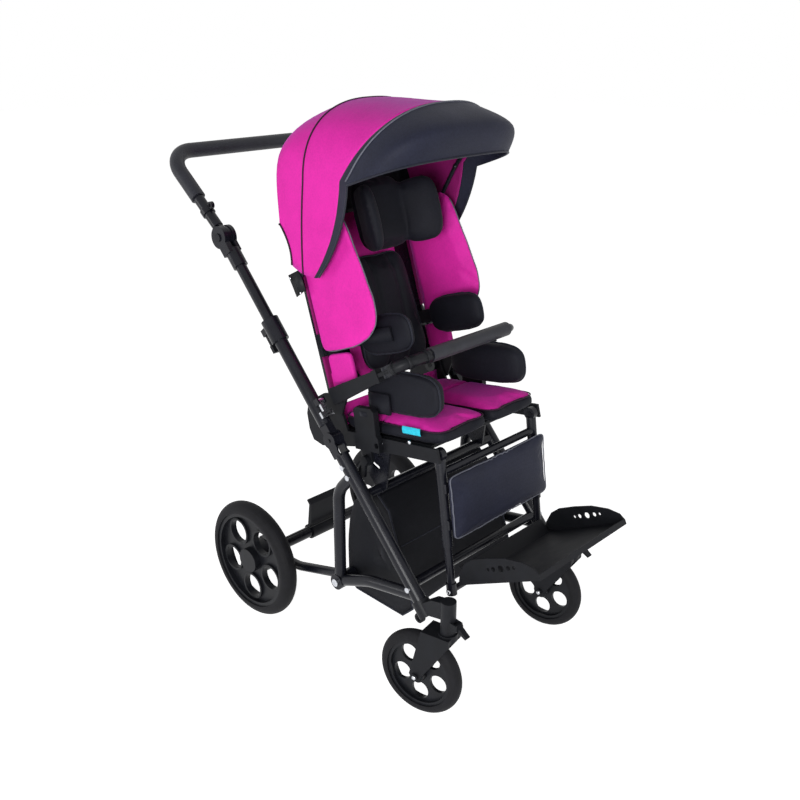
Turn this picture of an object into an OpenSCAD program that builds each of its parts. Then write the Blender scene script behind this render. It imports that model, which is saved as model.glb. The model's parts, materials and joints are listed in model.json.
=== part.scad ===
// Special needs buggy: folding push frame, tilting seat unit, reclining back, canopy, legrest.
// Units are millimetres. +Z is up, the child faces -Y, and the child's right side is -X.
// The origin lies on the floor, under the middle of the whole buggy.

/* [Wheels] */
// Rear wheel diameter over the tyre
rear_d = 292; // [270:1:310]
// Rear tyre width
rear_tyre_w = 42; // [36:1:48]
// Distance between the rear tyres' centre planes
rear_track = 468; // [464:1:500]
// Caster diameter over the tyre
caster_d = 194; // [180:1:210]
// Caster tyre width
caster_tyre_w = 33; // [28:1:36]
// Distance between the two swivel stems
caster_track = 438; // [430:1:460]
// Distance from the caster axles to the rear axle
wheelbase = 546; // [530:1:580]
// Distance from a swivel stem's axis to its caster's axle
caster_trail = 62; // [55:1:66]
// Swivel of the right caster at rest, in degrees
swivel_right = 10; // [-20:1:20]
// Swivel of the left caster at rest, in degrees
swivel_left = 6; // [-20:1:20]

/* [Frame] */
// Slope of the side tubes, in degrees
frame_angle = 48.5; // [46:0.5:51]
// Outer diameter of the side tubes
tube_d = 30; // [27:0.5:32]
// Wall of the frame tubes
tube_wall = 2; // [1.5:0.1:2.4]
// Distance between the side tubes' axes
frame_w = 428; // [424:1:440]
// Distance along a side tube from its foot to the fold hinge
fold_s = 411; // [395:1:430]
// Distance along a side tube from its foot to the seat cross tube
cross_s = 274; // [262:1:282]
// Diameter of the rear posts and the rear axle arms
post_d = 26; // [22:0.5:27]
// Height of the axle arms' pivot above the rear axle
pivot_rise = 52; // [40:1:64]
// Where the middle of the wheelbase lies along Y
mid_y = -24; // [-60:1:0]

/* [Push handle] */
// Distance from the fold hinge to the handle's knuckles
knuckle_s = 513; // [500:1:540]
// Diameter of the knuckles
knuckle_d = 50; // [44:1:54]
// Distance from the knuckles to the middle of the crossbar
handle_len = 256; // [240:1:280]
// Angle between the handle and the side tubes at rest, in degrees
handle_rest = -9; // [-15:1:0]
// Diameter of the foam grip
grip_d = 34; // [31:0.5:37]
// Outer diameter of the telescopic tubes
inner_d = 25; // [22:0.5:25]

/* [Seat] */
// Distance of the tilt pivot in front of the fold hinge
seat_forward = 98; // [90:1:110]
// Upward slope of the seat to the front, in degrees
seat_pitch = 8; // [4:1:12]
// Depth of the seat cushion
seat_depth = 299; // [280:1:305]
// Width of each thigh cushion
cushion_w = 162; // [150:1:163]
// Thickness of the thigh cushions
cushion_t = 43; // [36:1:45]
// Distance between the outer faces of the seat's side plates
seat_w = 342; // [340:1:346]
// Thickness of the side plates
plate_t = 6; // [4:0.5:7]
// Length of a hip pad
hip_len = 208; // [190:1:212]
// Height of a hip pad
hip_h = 94; // [84:1:95]

/* [Backrest] */
// Recline of the backrest at rest, in degrees
back_angle = 18; // [14:1:22]
// Height of the backrest frame above its hinge
back_h = 395; // [380:1:398]
// Width of the pink back cover
cover_w = 214; // [200:1:216]
// Width of the black back pad
pad_w = 190; // [160:1:200]
// Depth of the side wings
wing_depth = 194; // [180:1:200]
// Height of the side wings
wing_h = 292; // [270:1:300]

/* [Canopy] */
// Distance between the canopy's sides
canopy_w = 376; // [370:1:380]
// Thickness of the canopy cloth with its lining
cloth_t = 4; // [3:0.5:5]
// Height of the canopy's roof above its hinge
canopy_rise = 373; // [360:1:380]
// Reach of the visor in front of the canopy's hinge
visor_reach = 325; // [310:1:330]

/* [Safety bar] */
// Rise of the safety bar to the front, in degrees
bar_angle = 31; // [27:1:34]
// Diameter of the bar
bar_d = 18; // [16:0.5:20]
// Diameter of the foam on the bar
bar_foam_d = 31; // [28:0.5:33]

/* [Legrest] */
// Distance between the two legs' axes
leg_w = 306; // [300:1:307]
// Diameter of the upper leg tubes
leg_d = 22; // [20:0.5:24]
// Distance from the legrest hinge to the footplate hinge
leg_len = 300; // [290:1:310]
// Slope of the legs from upright, in degrees
leg_angle = 8; // [6:0.5:11]
// Width of the calf pad
calf_w = 320; // [290:1:330]
// Height of the calf pad
calf_h = 141; // [130:1:146]
// Width of the footplate
foot_w = 308; // [300:1:320]
// Depth of the footplate
foot_depth = 248; // [230:1:252]
// Upward slope of the footplate to the front, in degrees
foot_angle = 26; // [20:1:28]

/* [Basket] */
// Width of the basket
basket_w = 345; // [330:1:346]
// Thickness of the basket's cloth walls
basket_wall = 3; // [2:0.5:4]

/* [Hidden] */
$fn = 48;

// Finishes
black = "#1d1e24";
black_plastic = "#24262c";
charcoal = "#2d2f3c";
pink = "#e0209b";
steel = "#b9bcc4";

// Clearances: running fit on a radius, free gap between pieces, cut past a face
fit = 0.05;
gap = 0.3;
past = 1;

// Places in the side view, as [y, z]
foot = [mid_y - wheelbase / 2, caster_d + 37];
function on_tube(s) = foot + s * [cos(frame_angle), sin(frame_angle)];
fold = on_tube(fold_s);
cross = on_tube(cross_s);
axle = [mid_y + wheelbase / 2, rear_d / 2];
post_y = fold[0] - 13;
pivot = [post_y, axle[1] + pivot_rise];
seat_pivot = fold + [-seat_forward, 5];

// Places across the buggy
tube_x = frame_w / 2;
wheel_x = rear_track / 2;
stem_x = caster_track / 2;
plate_x = seat_w / 2;
plate_in = plate_x - plate_t;
leg_x = leg_w / 2;

// Fold hinge: the tubes stop short of the pin, and an eye turns between two cheeks
hinge_gap = 36;
cheek_in = 10;
cheek_out = 14;
fold_pin_r = 4;

// Axle arms and brake
arm_x = 186;
arm_w = 22;
pivot_pin_r = 8;
axle_r = 14;
stub_r = 6;
hub_half = 27;
hub_in = wheel_x - hub_half;
brake_ring_r = 34;
brake_pin_r = 4;
brake_travel = 8;

// Casters
stem = [foot[0] - caster_trail, caster_d + 23];
stem_top = caster_d + 96;
stem_r = 8;
fork_in = caster_tyre_w / 2 + 3.5;
fork_out = fork_in + 5;
caster_axle_r = 5;

// Telescope and knuckle
clamp_from = 244;
clamp_to = 298;
inner_from = 150;
knuckle_pin_r = 5;
knuckle_tongue = 4.7;
knuckle_out = 18;
button_r = 9;

// Seat, back and legrest hinges in the seat's own view, as [along the seat, up from the pivot]
recline_at = [144, 77];
leg_at = [-148, -3];
pivot_r = 6;
pan_top = 14;
tilt_slot_r = 62;
tilt_slot_at = -50;
tilt_bolt_r = 4;

// From the seat's tilted view to the side view
function seat_to(p) = seat_pivot + [
  p[0] * cos(seat_pitch) + p[1] * sin(seat_pitch),
  p[1] * cos(seat_pitch) - p[0] * sin(seat_pitch)];
back_hinge = seat_to(recline_at);
leg_hinge = seat_to(leg_at);
foot_hinge = leg_hinge + leg_len * [-sin(leg_angle), -cos(leg_angle)];

// Canopy hinge on the backrest, as [behind the back's plane, up the back]
canopy_at = [0, 262];
function back_to(p) = back_hinge + [
  p[0] * cos(back_angle) + p[1] * sin(back_angle),
  p[1] * cos(back_angle) - p[0] * sin(back_angle)];
hood = back_to(canopy_at);
hood_pin_r = 5;

// Safety bar: the arms end here, and the bar swings on a pin in front of the right arm's end
bar_x = 182;
bar_rear = back_hinge + [-28, 22];
bar_arm = 157;
bar_front = bar_rear + bar_arm * [-cos(bar_angle), sin(bar_angle)];
bar_reach = 74;
bar_pin_at = -24;
bar_pin_r = 4;
foam_from = -104;

module on_side(side) {
  if (side < 0) mirror([1, 0, 0]) children();
  else children();
}

// Lays a drawing of the side view, [y, z], across the buggy from x upwards
module side_view(x) translate([x, 0, 0]) rotate([90, 0, 90]) children();

// Space along the side tubes: x across, y up the tube from the fold hinge, z square to it
module push_space() translate([0, fold[0], fold[1]]) rotate([frame_angle, 0, 0]) children();

// Space of the handle: the same, from the knuckles
module handle_space() push_space() translate([0, knuckle_s, 0]) rotate([handle_rest, 0, 0]) children();

// Space of the seat: y to the rear along the seat, z up, from the tilt pivot
module seat_space() translate([0, seat_pivot[0], seat_pivot[1]]) rotate([-seat_pitch, 0, 0]) children();

// Space of the backrest: z up the back, -y to the front, from the recline hinge
module back_space() translate([0, back_hinge[0], back_hinge[1]]) rotate([-back_angle, 0, 0]) children();

// Space of the legrest: z up the legs, -y to the front, from the legrest hinge
module leg_space() translate([0, leg_hinge[0], leg_hinge[1]]) rotate([-leg_angle, 0, 0]) children();

// Space of the footplate: -y along the plate to its lip, z square to it, from its hinge
module foot_space() translate([0, foot_hinge[0], foot_hinge[1]]) rotate([-foot_angle, 0, 0]) children();

// Space of the safety bar: -y to the front along the bar, z square to it, from the arms' ends
module bar_space() translate([0, bar_front[0], bar_front[1]]) rotate([-bar_angle, 0, 0]) children();

module ring(d, wall) {
  difference() {
    circle(d = d);
    if (wall > 0) circle(d = d - 2 * wall);
  }
}

// A pin or tube along X, from x0 to x1, at [y, z]
module pin(x0, x1, at, r, wall = 0)
  translate([x0, at[0], at[1]]) rotate([90, 0, 90]) linear_extrude(x1 - x0) ring(2 * r, wall);

// A tube along a flat path of points, with round bends a hair thicker than the straights they take in
function way(p, i) = (p[i + 1] - p[i]) / norm(p[i + 1] - p[i]);
function heading(v) = atan2(v[1], v[0]);
function turn(p, i) =
  let (a = heading(way(p, i)) - heading(way(p, i - 1)))
  a > 180 ? a - 360 : a < -180 ? a + 360 : a;
function cut(p, i, bend) = i == 0 || i == len(p) - 1 ? 0 : bend * tan(abs(turn(p, i)) / 2);
module pipe(p, bend, d, wall = 0) {
  for (i = [0 : len(p) - 2]) {
    a = p[i] + way(p, i) * (cut(p, i, bend) - (i > 0 ? 1 : 0));
    b = p[i + 1] - way(p, i) * (cut(p, i + 1, bend) - (i < len(p) - 2 ? 1 : 0));
    translate([a[0], a[1], 0]) rotate([0, 0, heading(way(p, i))]) rotate([0, 90, 0])
      linear_extrude(norm(b - a)) ring(d, wall);
  }
  for (i = [1 : 1 : len(p) - 2]) {
    a = p[i] - way(p, i - 1) * cut(p, i, bend);
    side = turn(p, i) > 0 ? 1 : -1;
    h = heading(way(p, i - 1));
    c = a + bend * side * [-sin(h), cos(h)];
    start = side > 0 ? h - 90 : h + 90 - abs(turn(p, i));
    translate([c[0], c[1], 0]) rotate([0, 0, start]) rotate_extrude(angle = abs(turn(p, i)))
      translate([bend, 0]) ring(d + 0.1, wall);
  }
}

// Outline of a pad: a rounded rectangle whose sides draw in between the corners
pad_points = 28;
function soft_power(v, n) = sign(v) * pow(abs(v), 2 / n);
function pad_outline(w, h, square, draw) = [
  for (i = [0 : pad_points - 1])
    let (a = 360 * i / pad_points, k = 1 - draw * pow(cos(2 * a), 2))
    k * [w / 2 * soft_power(cos(a), square), h / 2 * soft_power(sin(a), square)]];

// Rings of a pad from its flat back to its crown, as [share of the outline, share of the thickness]
pad_rings = [[0.93, 0], [1, 0.2], [1, 0.55], [0.93, 0.8], [0.74, 0.94], [0.4, 1]];
module pad(w, h, t, square = 5, draw = 0.02) stuffed(pad_outline(w, h, square, draw), t);
module stuffed(o, t) {
  n = len(o);
  m = len(pad_rings);
  pts = concat(
    [for (r = pad_rings) for (p = o) [p[0] * r[0], p[1] * r[0], t * r[1]]],
    [[0, 0, 0], [0, 0, t]]);
  sides = [for (k = [0 : m - 2]) for (i = [0 : n - 1])
    let (j = (i + 1) % n, a = k * n + i, b = k * n + j)
    each [[a, b + n, b], [a, a + n, b + n]]];
  back = [for (i = [0 : n - 1]) [n * m, i, (i + 1) % n]];
  crown = [for (i = [0 : n - 1]) [n * m + 1, (m - 1) * n + (i + 1) % n, (m - 1) * n + i]];
  polyhedron(pts, concat(sides, back, crown));
}

// A pad that stands on edge, facing the middle of the buggy, with its back at x
module side_pad(x, at, size, square = 5, draw = 0.02)
  translate([x, at[0], at[1]]) rotate([90, 0, -90]) pad(size[0], size[1], size[2], square, draw);

// A pad that faces the front, with its back at y
module front_pad(at, size, square = 5, draw = 0.02)
  translate(at) rotate([90, 0, 0]) pad(size[0], size[1], size[2], square, draw);

module wheel_tyre(d, w, rim_r)
  rotate([0, 90, 0]) rotate_extrude() intersection() {
    translate([d / 2 - w / 2, 0]) circle(d = w);
    translate([rim_r + fit, -w]) square([d / 2, 2 * w]);
  }

rear_rim_r = rear_d / 2 - 26;
caster_rim_r = caster_d / 2 - 21;

module rear_tyre(side) color(black) on_side(side)
  translate([wheel_x, axle[0], axle[1]]) wheel_tyre(rear_d, rear_tyre_w, rear_rim_r);

// Dished rim with five round openings, a hub and a ring of brake holes
module rear_rim(side) color(black_plastic) on_side(side) translate([wheel_x, axle[0], axle[1]])
  rotate([0, 90, 0]) difference() {
    union() {
      difference() {
        translate([0, 0, -17]) cylinder(r = rear_rim_r, h = 34);
        for (z = [-18, 5]) translate([0, 0, z]) cylinder(r = rear_rim_r - 9, h = 13);
      }
      translate([0, 0, -hub_half]) cylinder(r = 42, h = 30);
      translate([0, 0, -3]) cylinder(r = 30, h = hub_half - 2);
      for (i = [0 : 4]) rotate(72 * i) translate([rear_rim_r - 46, 0, -3]) cylinder(r = 34, h = 14);
    }
    for (i = [0 : 4]) rotate(72 * i) translate([rear_rim_r - 46, 0, -20]) cylinder(r = 29, h = 40);
    for (i = [0 : 11])
      rotate(30 * i) translate([brake_ring_r, 0, -hub_half - past]) cylinder(r = brake_pin_r + 1, h = 12);
    translate([0, 0, -hub_half - past]) cylinder(r = stub_r + fit, h = 2 * hub_half - 8);
  }

module caster_place(side, angle) translate([side * stem_x, stem[0], 0]) rotate(angle) children();
function swivel(side) = side < 0 ? swivel_right : swivel_left;

module caster_tyre(side) color(black) caster_place(side, swivel(side))
  translate([0, caster_trail, caster_d / 2]) wheel_tyre(caster_d, caster_tyre_w, caster_rim_r);

// Rim with five round openings between its spokes
module caster_rim(side) color(black_plastic) caster_place(side, swivel(side))
  translate([0, caster_trail, caster_d / 2]) rotate([0, 90, 0]) difference() {
    union() {
      difference() {
        translate([0, 0, -12]) cylinder(r = caster_rim_r, h = 24);
        for (z = [-13, 4]) translate([0, 0, z]) cylinder(r = caster_rim_r - 7, h = 9);
      }
      translate([0, 0, -fork_in + gap]) cylinder(r = 17, h = 2 * (fork_in - gap));
    }
    for (i = [0 : 4]) rotate(72 * i) translate([caster_rim_r - 30, 0, -20]) cylinder(r = 20, h = 40);
    translate([0, 0, -20]) cylinder(r = caster_axle_r + fit, h = 40);
  }

// Fork: stem, crown, two flat legs and the axle bolt
module caster_fork(side) color(black) caster_place(side, swivel(side)) {
  axle_z = caster_d / 2;
  crown_z = stem[1] - gap;
  translate([0, 0, crown_z - past]) cylinder(r = stem_r - fit, h = stem_top - crown_z - 3);
  translate([0, 0, crown_z - 15]) cylinder(r = 20, h = 15);
  translate([-fork_out, -16, crown_z - 16]) cube([2 * fork_out, 66, 12]);
  for (s = [-1, 1]) {
    side_view(s > 0 ? fork_in : -fork_out) linear_extrude(fork_out - fork_in) polygon([
      [-16, crown_z - 4], [50, crown_z - 4], [caster_trail + 15, axle_z + 4],
      [caster_trail + 8, axle_z - 12], [caster_trail - 8, axle_z - 12], [caster_trail - 17, axle_z + 8],
      [-16, crown_z - 20]]);
    pin(s > 0 ? fork_out - past : -fork_out - 4, s > 0 ? fork_out + 4 : past - fork_out,
      [caster_trail, axle_z], 8);
  }
  pin(-fork_out, fork_out, [caster_trail, axle_z], caster_axle_r);
}

// Socket on the side tube's foot, stem housing, lock ears and a tie-down eye
eye_at = foot + [18.5, -19];
eye_r = 6;
lock_at = [stem[0] - 24, stem[1] + 24];
lock_pin_r = 2.5;
module caster_bracket(side) color(black_plastic) on_side(side) difference() {
  union() {
    translate([stem_x, stem[0], stem[1]]) cylinder(d = 32, h = stem_top - stem[1]);
    push_space() translate([tube_x, -fold_s - 6, 0]) rotate([-90, 0, 0]) cylinder(d = tube_d + 8, h = 36);
    side_view(tube_x - 11) linear_extrude(24) polygon([
      [stem[0], stem[1] + 30], [foot[0] - 2, foot[1] + 4], [foot[0] + 8, foot[1] + 24],
      [foot[0] - 22, foot[1] + 46], [stem[0], stem_top - 4]]);
    pin(tube_x - 5, tube_x + 5, eye_at, eye_r + 5);
    for (s = [-1, 1]) side_view(stem_x + (s > 0 ? 6.5 : -10.5)) linear_extrude(4) polygon([
      [stem[0] - 10, lock_at[1] - 8], lock_at + [-5, -7], lock_at + [-7, 0], lock_at + [-4, 7],
      [stem[0] - 10, lock_at[1] + 9]]);
    pin(stem_x - 10, stem_x + 10, lock_at, lock_pin_r);
  }
  translate([stem_x, stem[0], stem[1] - past]) cylinder(r = stem_r, h = stem_top - stem[1] - 3);
  push_space() translate([tube_x, -fold_s, 0]) rotate([-90, 0, 0]) cylinder(d = tube_d + 2 * fit, h = 60);
  pin(tube_x - 20, tube_x + 20, eye_at, eye_r);
}

// Swivel lock: a paddle between the ears on the stem housing
module caster_lock(side) color(black_plastic) on_side(side) difference() {
  union() {
    pin(stem_x - 6.2, stem_x + 6.2, lock_at, 6.5);
    side_view(stem_x - 6.2) linear_extrude(12.4) polygon([
      lock_at + [-2, -6], lock_at + [-26, -17], lock_at + [-29, -13], lock_at + [-5, 5]]);
  }
  pin(stem_x - 20, stem_x + 20, lock_at, lock_pin_r + fit);
}

// Lower side tube, from the caster bracket to the cheeks of the fold hinge
module side_tube(side) color(black) on_side(side) push_space() translate([tube_x, 0, 0]) {
  translate([0, -fold_s + 0.2, 0]) rotate([-90, 0, 0])
    linear_extrude(fold_s - hinge_gap - 0.2) ring(tube_d, tube_wall);
  translate([0, -hinge_gap - 12, 0]) rotate([-90, 0, 0]) cylinder(d = tube_d, h = 12);
  for (x = [cheek_in, -cheek_out]) difference() {
    union() {
      translate([x, -hinge_gap - 4, -13]) cube([cheek_out - cheek_in, hinge_gap + 4, 26]);
      pin(x, x + cheek_out - cheek_in, [0, 0], 18);
    }
    translate([x - past, -hinge_gap + 6, 20]) rotate([0, 90, 0]) cylinder(r = 10, h = 8);
  }
  pin(-cheek_out - 2, cheek_out + 2, [0, 0], fold_pin_r);
}

// Solid of a side tube, to cope what is welded to it
module side_tube_cut(x) push_space() translate([x, -fold_s - 20, 0]) rotate([-90, 0, 0])
  cylinder(d = tube_d + 2 * fit, h = fold_s);

// Rear post: bends from the side tube down to the arm's pivot, and a lower tube runs on to the front
module rear_post(side) color(black) on_side(side) difference() {
  union() {
    side_view(tube_x) pipe([on_tube(cross_s + 50), [post_y, pivot[1] + 224], pivot], 60, post_d);
    side_view(tube_x) pipe([pivot, pivot + [-92, 38], on_tube(40)], 160, post_d);
    pin(tube_x - post_d / 2 - 1, tube_x + post_d / 2 + 1, pivot, 18);
    pin(arm_x - arm_w / 2, tube_x, pivot, pivot_pin_r);
  }
  side_tube_cut(tube_x);
}

// Cross tube under the seat with the two quadrants that carry the tilt pivot
quad_x = plate_in - gap - 5;
module seat_cross_tube() color(black) {
  difference() {
    pin(-tube_x, tube_x, cross, 11, tube_wall);
    for (s = [-1, 1]) side_tube_cut(s * tube_x);
  }
  for (s = [-1, 1]) on_side(s) {
    difference() {
      side_view(quad_x) linear_extrude(5) polygon([
        cross + [-16, 4], cross + [16, 4], seat_pivot + [60, -66], seat_pivot + [66, -40],
        seat_pivot + [30, -10], seat_pivot + [10, 8.5], seat_pivot + [-9, 8.5], seat_pivot + [-20, -10]]);
      pin(quad_x - 5, quad_x + 10, cross, 11);
      side_view(quad_x - past) translate(seat_pivot) {
        rotate(tilt_slot_at - 27) rotate_extrude(angle = 36)
          translate([tilt_slot_r - tilt_bolt_r - 0.5, 0]) square([2 * tilt_bolt_r + 1, 8]);
        for (a = [-27, 9]) rotate(tilt_slot_at + a) translate([tilt_slot_r, 0]) cylinder(r = tilt_bolt_r + 0.5, h = 8);
        for (a = [-36, -20, -4]) rotate(tilt_slot_at + a) translate([34, 0]) cylinder(r = 4, h = 8);
      }
    }
    pin(quad_x + 4, plate_x - 0.5, seat_pivot, pivot_r);
  }
}

// Cross tube between the side tubes' feet
module front_cross_tube() color(black) difference() {
  pin(-tube_x, tube_x, on_tube(66), 10, tube_wall);
  for (s = [-1, 1]) side_tube_cut(s * tube_x);
}

// Upper side tube: hinge eye, tube and the telescope's clamp with its ears
latch_at = [84, 22];
lever_at = [clamp_to - 16, -28];
small_pin_r = 2.5;
module push_tube(side) color(black) on_side(side) push_space() translate([tube_x, 0, 0]) difference() {
  union() {
    pin(-cheek_in + gap, cheek_in - gap, [0, 0], 17);
    translate([-cheek_in + gap, 0, -12]) cube([2 * (cheek_in - gap), hinge_gap + 4, 24]);
    translate([0, hinge_gap, 0]) rotate([-90, 0, 0]) cylinder(d = tube_d, h = 12);
    translate([0, hinge_gap, 0]) rotate([-90, 0, 0]) linear_extrude(clamp_to - hinge_gap) ring(tube_d, tube_wall);
    translate([0, clamp_from, 0]) rotate([-90, 0, 0]) linear_extrude(clamp_to - clamp_from)
      ring(tube_d + 10, (tube_d + 10 - inner_d) / 2 - fit);
    for (x = [6.5, -10.5]) {
      translate([x, latch_at[0] - 7, tube_d / 2 - 3]) cube([4, 14, latch_at[1] - tube_d / 2 + 8]);
      translate([x, lever_at[0] - 8, lever_at[1] - 6]) cube([4, 16, 20]);
    }
    pin(-10, 10, latch_at, small_pin_r);
    pin(-10, 10, lever_at, small_pin_r);
  }
  pin(-20, 20, [0, 0], fold_pin_r + fit);
  translate([0, clamp_from, 0]) rotate([-90, 0, 0]) cylinder(d = inner_d + 2 * fit, h = clamp_to);
}

// Lever that closes the telescope's clamp
module clamp_lever(side) color(black_plastic) on_side(side) push_space() translate([tube_x, 0, 0]) difference() {
  union() {
    pin(-6.2, 6.2, lever_at, 6);
    translate([-6.2, lever_at[0] - 46, lever_at[1] - 5]) cube([12.4, 46, 7]);
    translate([-8, lever_at[0] - 50, lever_at[1] - 6]) cube([16, 18, 8]);
  }
  pin(-20, 20, lever_at, small_pin_r + fit);
}

// Wing that releases the fold hinge
module fold_latch(side) color(steel) on_side(side) push_space() translate([tube_x, 0, 0]) difference() {
  union() {
    pin(-6.2, 6.2, latch_at, 5);
    translate([-6.2, latch_at[0] - 36, latch_at[1] - 4]) cube([12.4, 36, 6]);
    translate([-16, latch_at[0] - 38, latch_at[1] - 4]) cube([32, 14, 6]);
  }
  pin(-20, 20, latch_at, small_pin_r + fit);
}

// Telescopic tube with the lower half of the handle's knuckle
module inner_tube(side) color(black) on_side(side) push_space() translate([tube_x, 0, 0]) difference() {
  union() {
    translate([0, inner_from, 0]) rotate([-90, 0, 0])
      linear_extrude(knuckle_s - 60 - inner_from) ring(inner_d, tube_wall);
    translate([0, knuckle_s - 78, 0]) rotate([-90, 0, 0]) cylinder(d = inner_d + 9, h = 42);
    for (x = [[knuckle_tongue + gap, knuckle_out], [-14, -knuckle_tongue - gap]]) {
      pin(x[0], x[1], [knuckle_s, 0], knuckle_d / 2);
      translate([x[0], knuckle_s - 44, -14]) cube([x[1] - x[0], 44, 28]);
    }
    pin(-10, 7.5, [knuckle_s, 0], knuckle_pin_r);
  }
  pin(8, knuckle_out + past, [knuckle_s, 0], button_r + gap);
}

// Button that frees the knuckle
module knuckle_button(side) color(black_plastic) on_side(side) push_space() translate([tube_x, 0, 0])
  pin(12.5, knuckle_out + 3, [knuckle_s, 0], button_r);

// Handle: tongues in the knuckles, a bent tube, and a bag hook on each leg
handle_d = 25;
handle_bend = 62;
hook_s = 74;
hook_r = 4;
handle_path = [[-tube_x, 30], [-tube_x, handle_len], [tube_x, handle_len], [tube_x, 30]];
module handle_bar() color(black) handle_space() {
  difference() {
    union() {
      pipe(handle_path, handle_bend, handle_d, tube_wall);
      for (s = [-1, 1]) {
        pin(s * tube_x - knuckle_tongue, s * tube_x + knuckle_tongue, [0, 0], knuckle_d / 2 - 2);
        translate([s * tube_x - knuckle_tongue, 0, -11]) cube([2 * knuckle_tongue, 34, 22]);
        translate([s * tube_x, 29, 0]) rotate([-90, 0, 0]) cylinder(d = handle_d, h = 8);
        translate([s * tube_x, hook_s - 7, 0]) rotate([-90, 0, 0]) linear_extrude(14) ring(handle_d + 6, 3 + tube_wall);
        pin(s * tube_x - 4, s * tube_x + 4, [hook_s, handle_d / 2 + 9], hook_r + 4);
      }
    }
    for (s = [-1, 1]) {
      pin(s * tube_x - 20, s * tube_x + 20, [0, 0], knuckle_pin_r + fit);
      pin(s * tube_x - 20, s * tube_x + 20, [hook_s, handle_d / 2 + 9], hook_r);
    }
  }
}

// Foam over the crossbar and both corners
grip_from = 116;
module handle_grip() color(black) handle_space()
  pipe([[-tube_x, grip_from], [-tube_x, handle_len], [tube_x, handle_len], [tube_x, grip_from]],
    handle_bend, grip_d, (grip_d - handle_d) / 2 - 0.2);

// Rear axle: two arms on the pivot pins, the cross tube, the wheel stubs and the brake pins' guides
brake_at = axle + [0, brake_ring_r];
module rear_axle() color(black) difference() {
  union() {
    pin(-hub_in + 1, hub_in - 1, axle, axle_r);
    for (s = [-1, 1]) on_side(s) {
      pin(hub_in - 14, wheel_x + hub_half - 11, axle, stub_r);
      side_view(arm_x) pipe([pivot, axle + [-112, 3], axle], 100, post_d - 4);
      pin(arm_x - arm_w / 2 - 0.5, arm_x + arm_w / 2 + 0.5, pivot, 17);
      side_view(hub_in - 16) linear_extrude(14.5) polygon([
        axle + [-20, -8], axle + [20, -8], axle + [13, brake_ring_r + 8], axle + [-13, brake_ring_r + 8]]);
    }
  }
  for (s = [-1, 1]) on_side(s) {
    pin(arm_x - 40, tube_x, pivot, pivot_pin_r + fit);
    pin(arm_x - 40, tube_x + 40, brake_at, brake_pin_r + fit);
  }
}

// Foot pedal that turns on the rear axle
pedal_w = 110;
pedal_h = 88;
module brake_pedal() color(black_plastic) difference() {
  union() {
    pin(-pedal_w / 2, pedal_w / 2, axle, axle_r + 5);
    side_view(-pedal_w / 2) linear_extrude(pedal_w) polygon([
      axle + [-8, 10], axle + [6, 10], axle + [-2, pedal_h - 10], axle + [6, pedal_h], axle + [2, pedal_h + 4],
      axle + [-9, pedal_h - 8]]);
  }
  pin(-pedal_w, pedal_w, axle, axle_r + fit);
}

module brake_pin(side) color(steel) on_side(side) pin(hub_in - 30, hub_in - 0.8, brake_at, brake_pin_r);

// Brake cable along the rear axle, between the two brake guides
cable_r = 2.5;
cable_at = axle + [-16, 24];
module brake_cable() color(black) pin(-hub_in + 16.3, hub_in - 16.3, cable_at, cable_r);

// Bolt heads on the outside of the frame
module frame_bolts() color(steel) for (s = [-1, 1]) on_side(s) {
  for (at = [on_tube(fold_s - 64), on_tube(fold_s - 88), on_tube(60)])
    pin(tube_x + tube_d / 2, tube_x + tube_d / 2 + 4, at, 6);
  pin(tube_x + post_d / 2 + 1, tube_x + post_d / 2 + 6, pivot, 9);
}

// Basket: a cloth bag under the seat, open at the top and the upper rear
basket_side = [for (p = [[3, -11.4], [-31, -41], [-54, -102], [-92, -200], [-104, -252], [-74, -282],
  [70, -276], [96, -254], [97, -176], [90, -106], [76, -52]]) cross + p];
function unit(v) = v / norm(v);
function inward(a, b) = let (u = unit(b - a)) [-u[1], u[0]];
function inset(p, w) = [for (i = [0 : len(p) - 1])
  let (n = len(p), a = inward(p[(i + n - 1) % n], p[i]), b = inward(p[i], p[(i + 1) % n]))
  p[i] + w * (a + b) / (1 + a * b)];
basket_lip = cross + [0, -150];
module basket() color(black) difference() {
  side_view(-basket_w / 2) linear_extrude(basket_w) polygon(basket_side);
  side_view(-basket_w / 2 + basket_wall) linear_extrude(basket_w - 2 * basket_wall) {
    polygon(inset(basket_side, basket_wall));
    polygon([cross + [-10, -36], [cross[0] + 20, basket_lip[1]], [cross[0] + 110, basket_lip[1]],
      cross + [110, 0], cross + [12, 0]]);
  }
}

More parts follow.
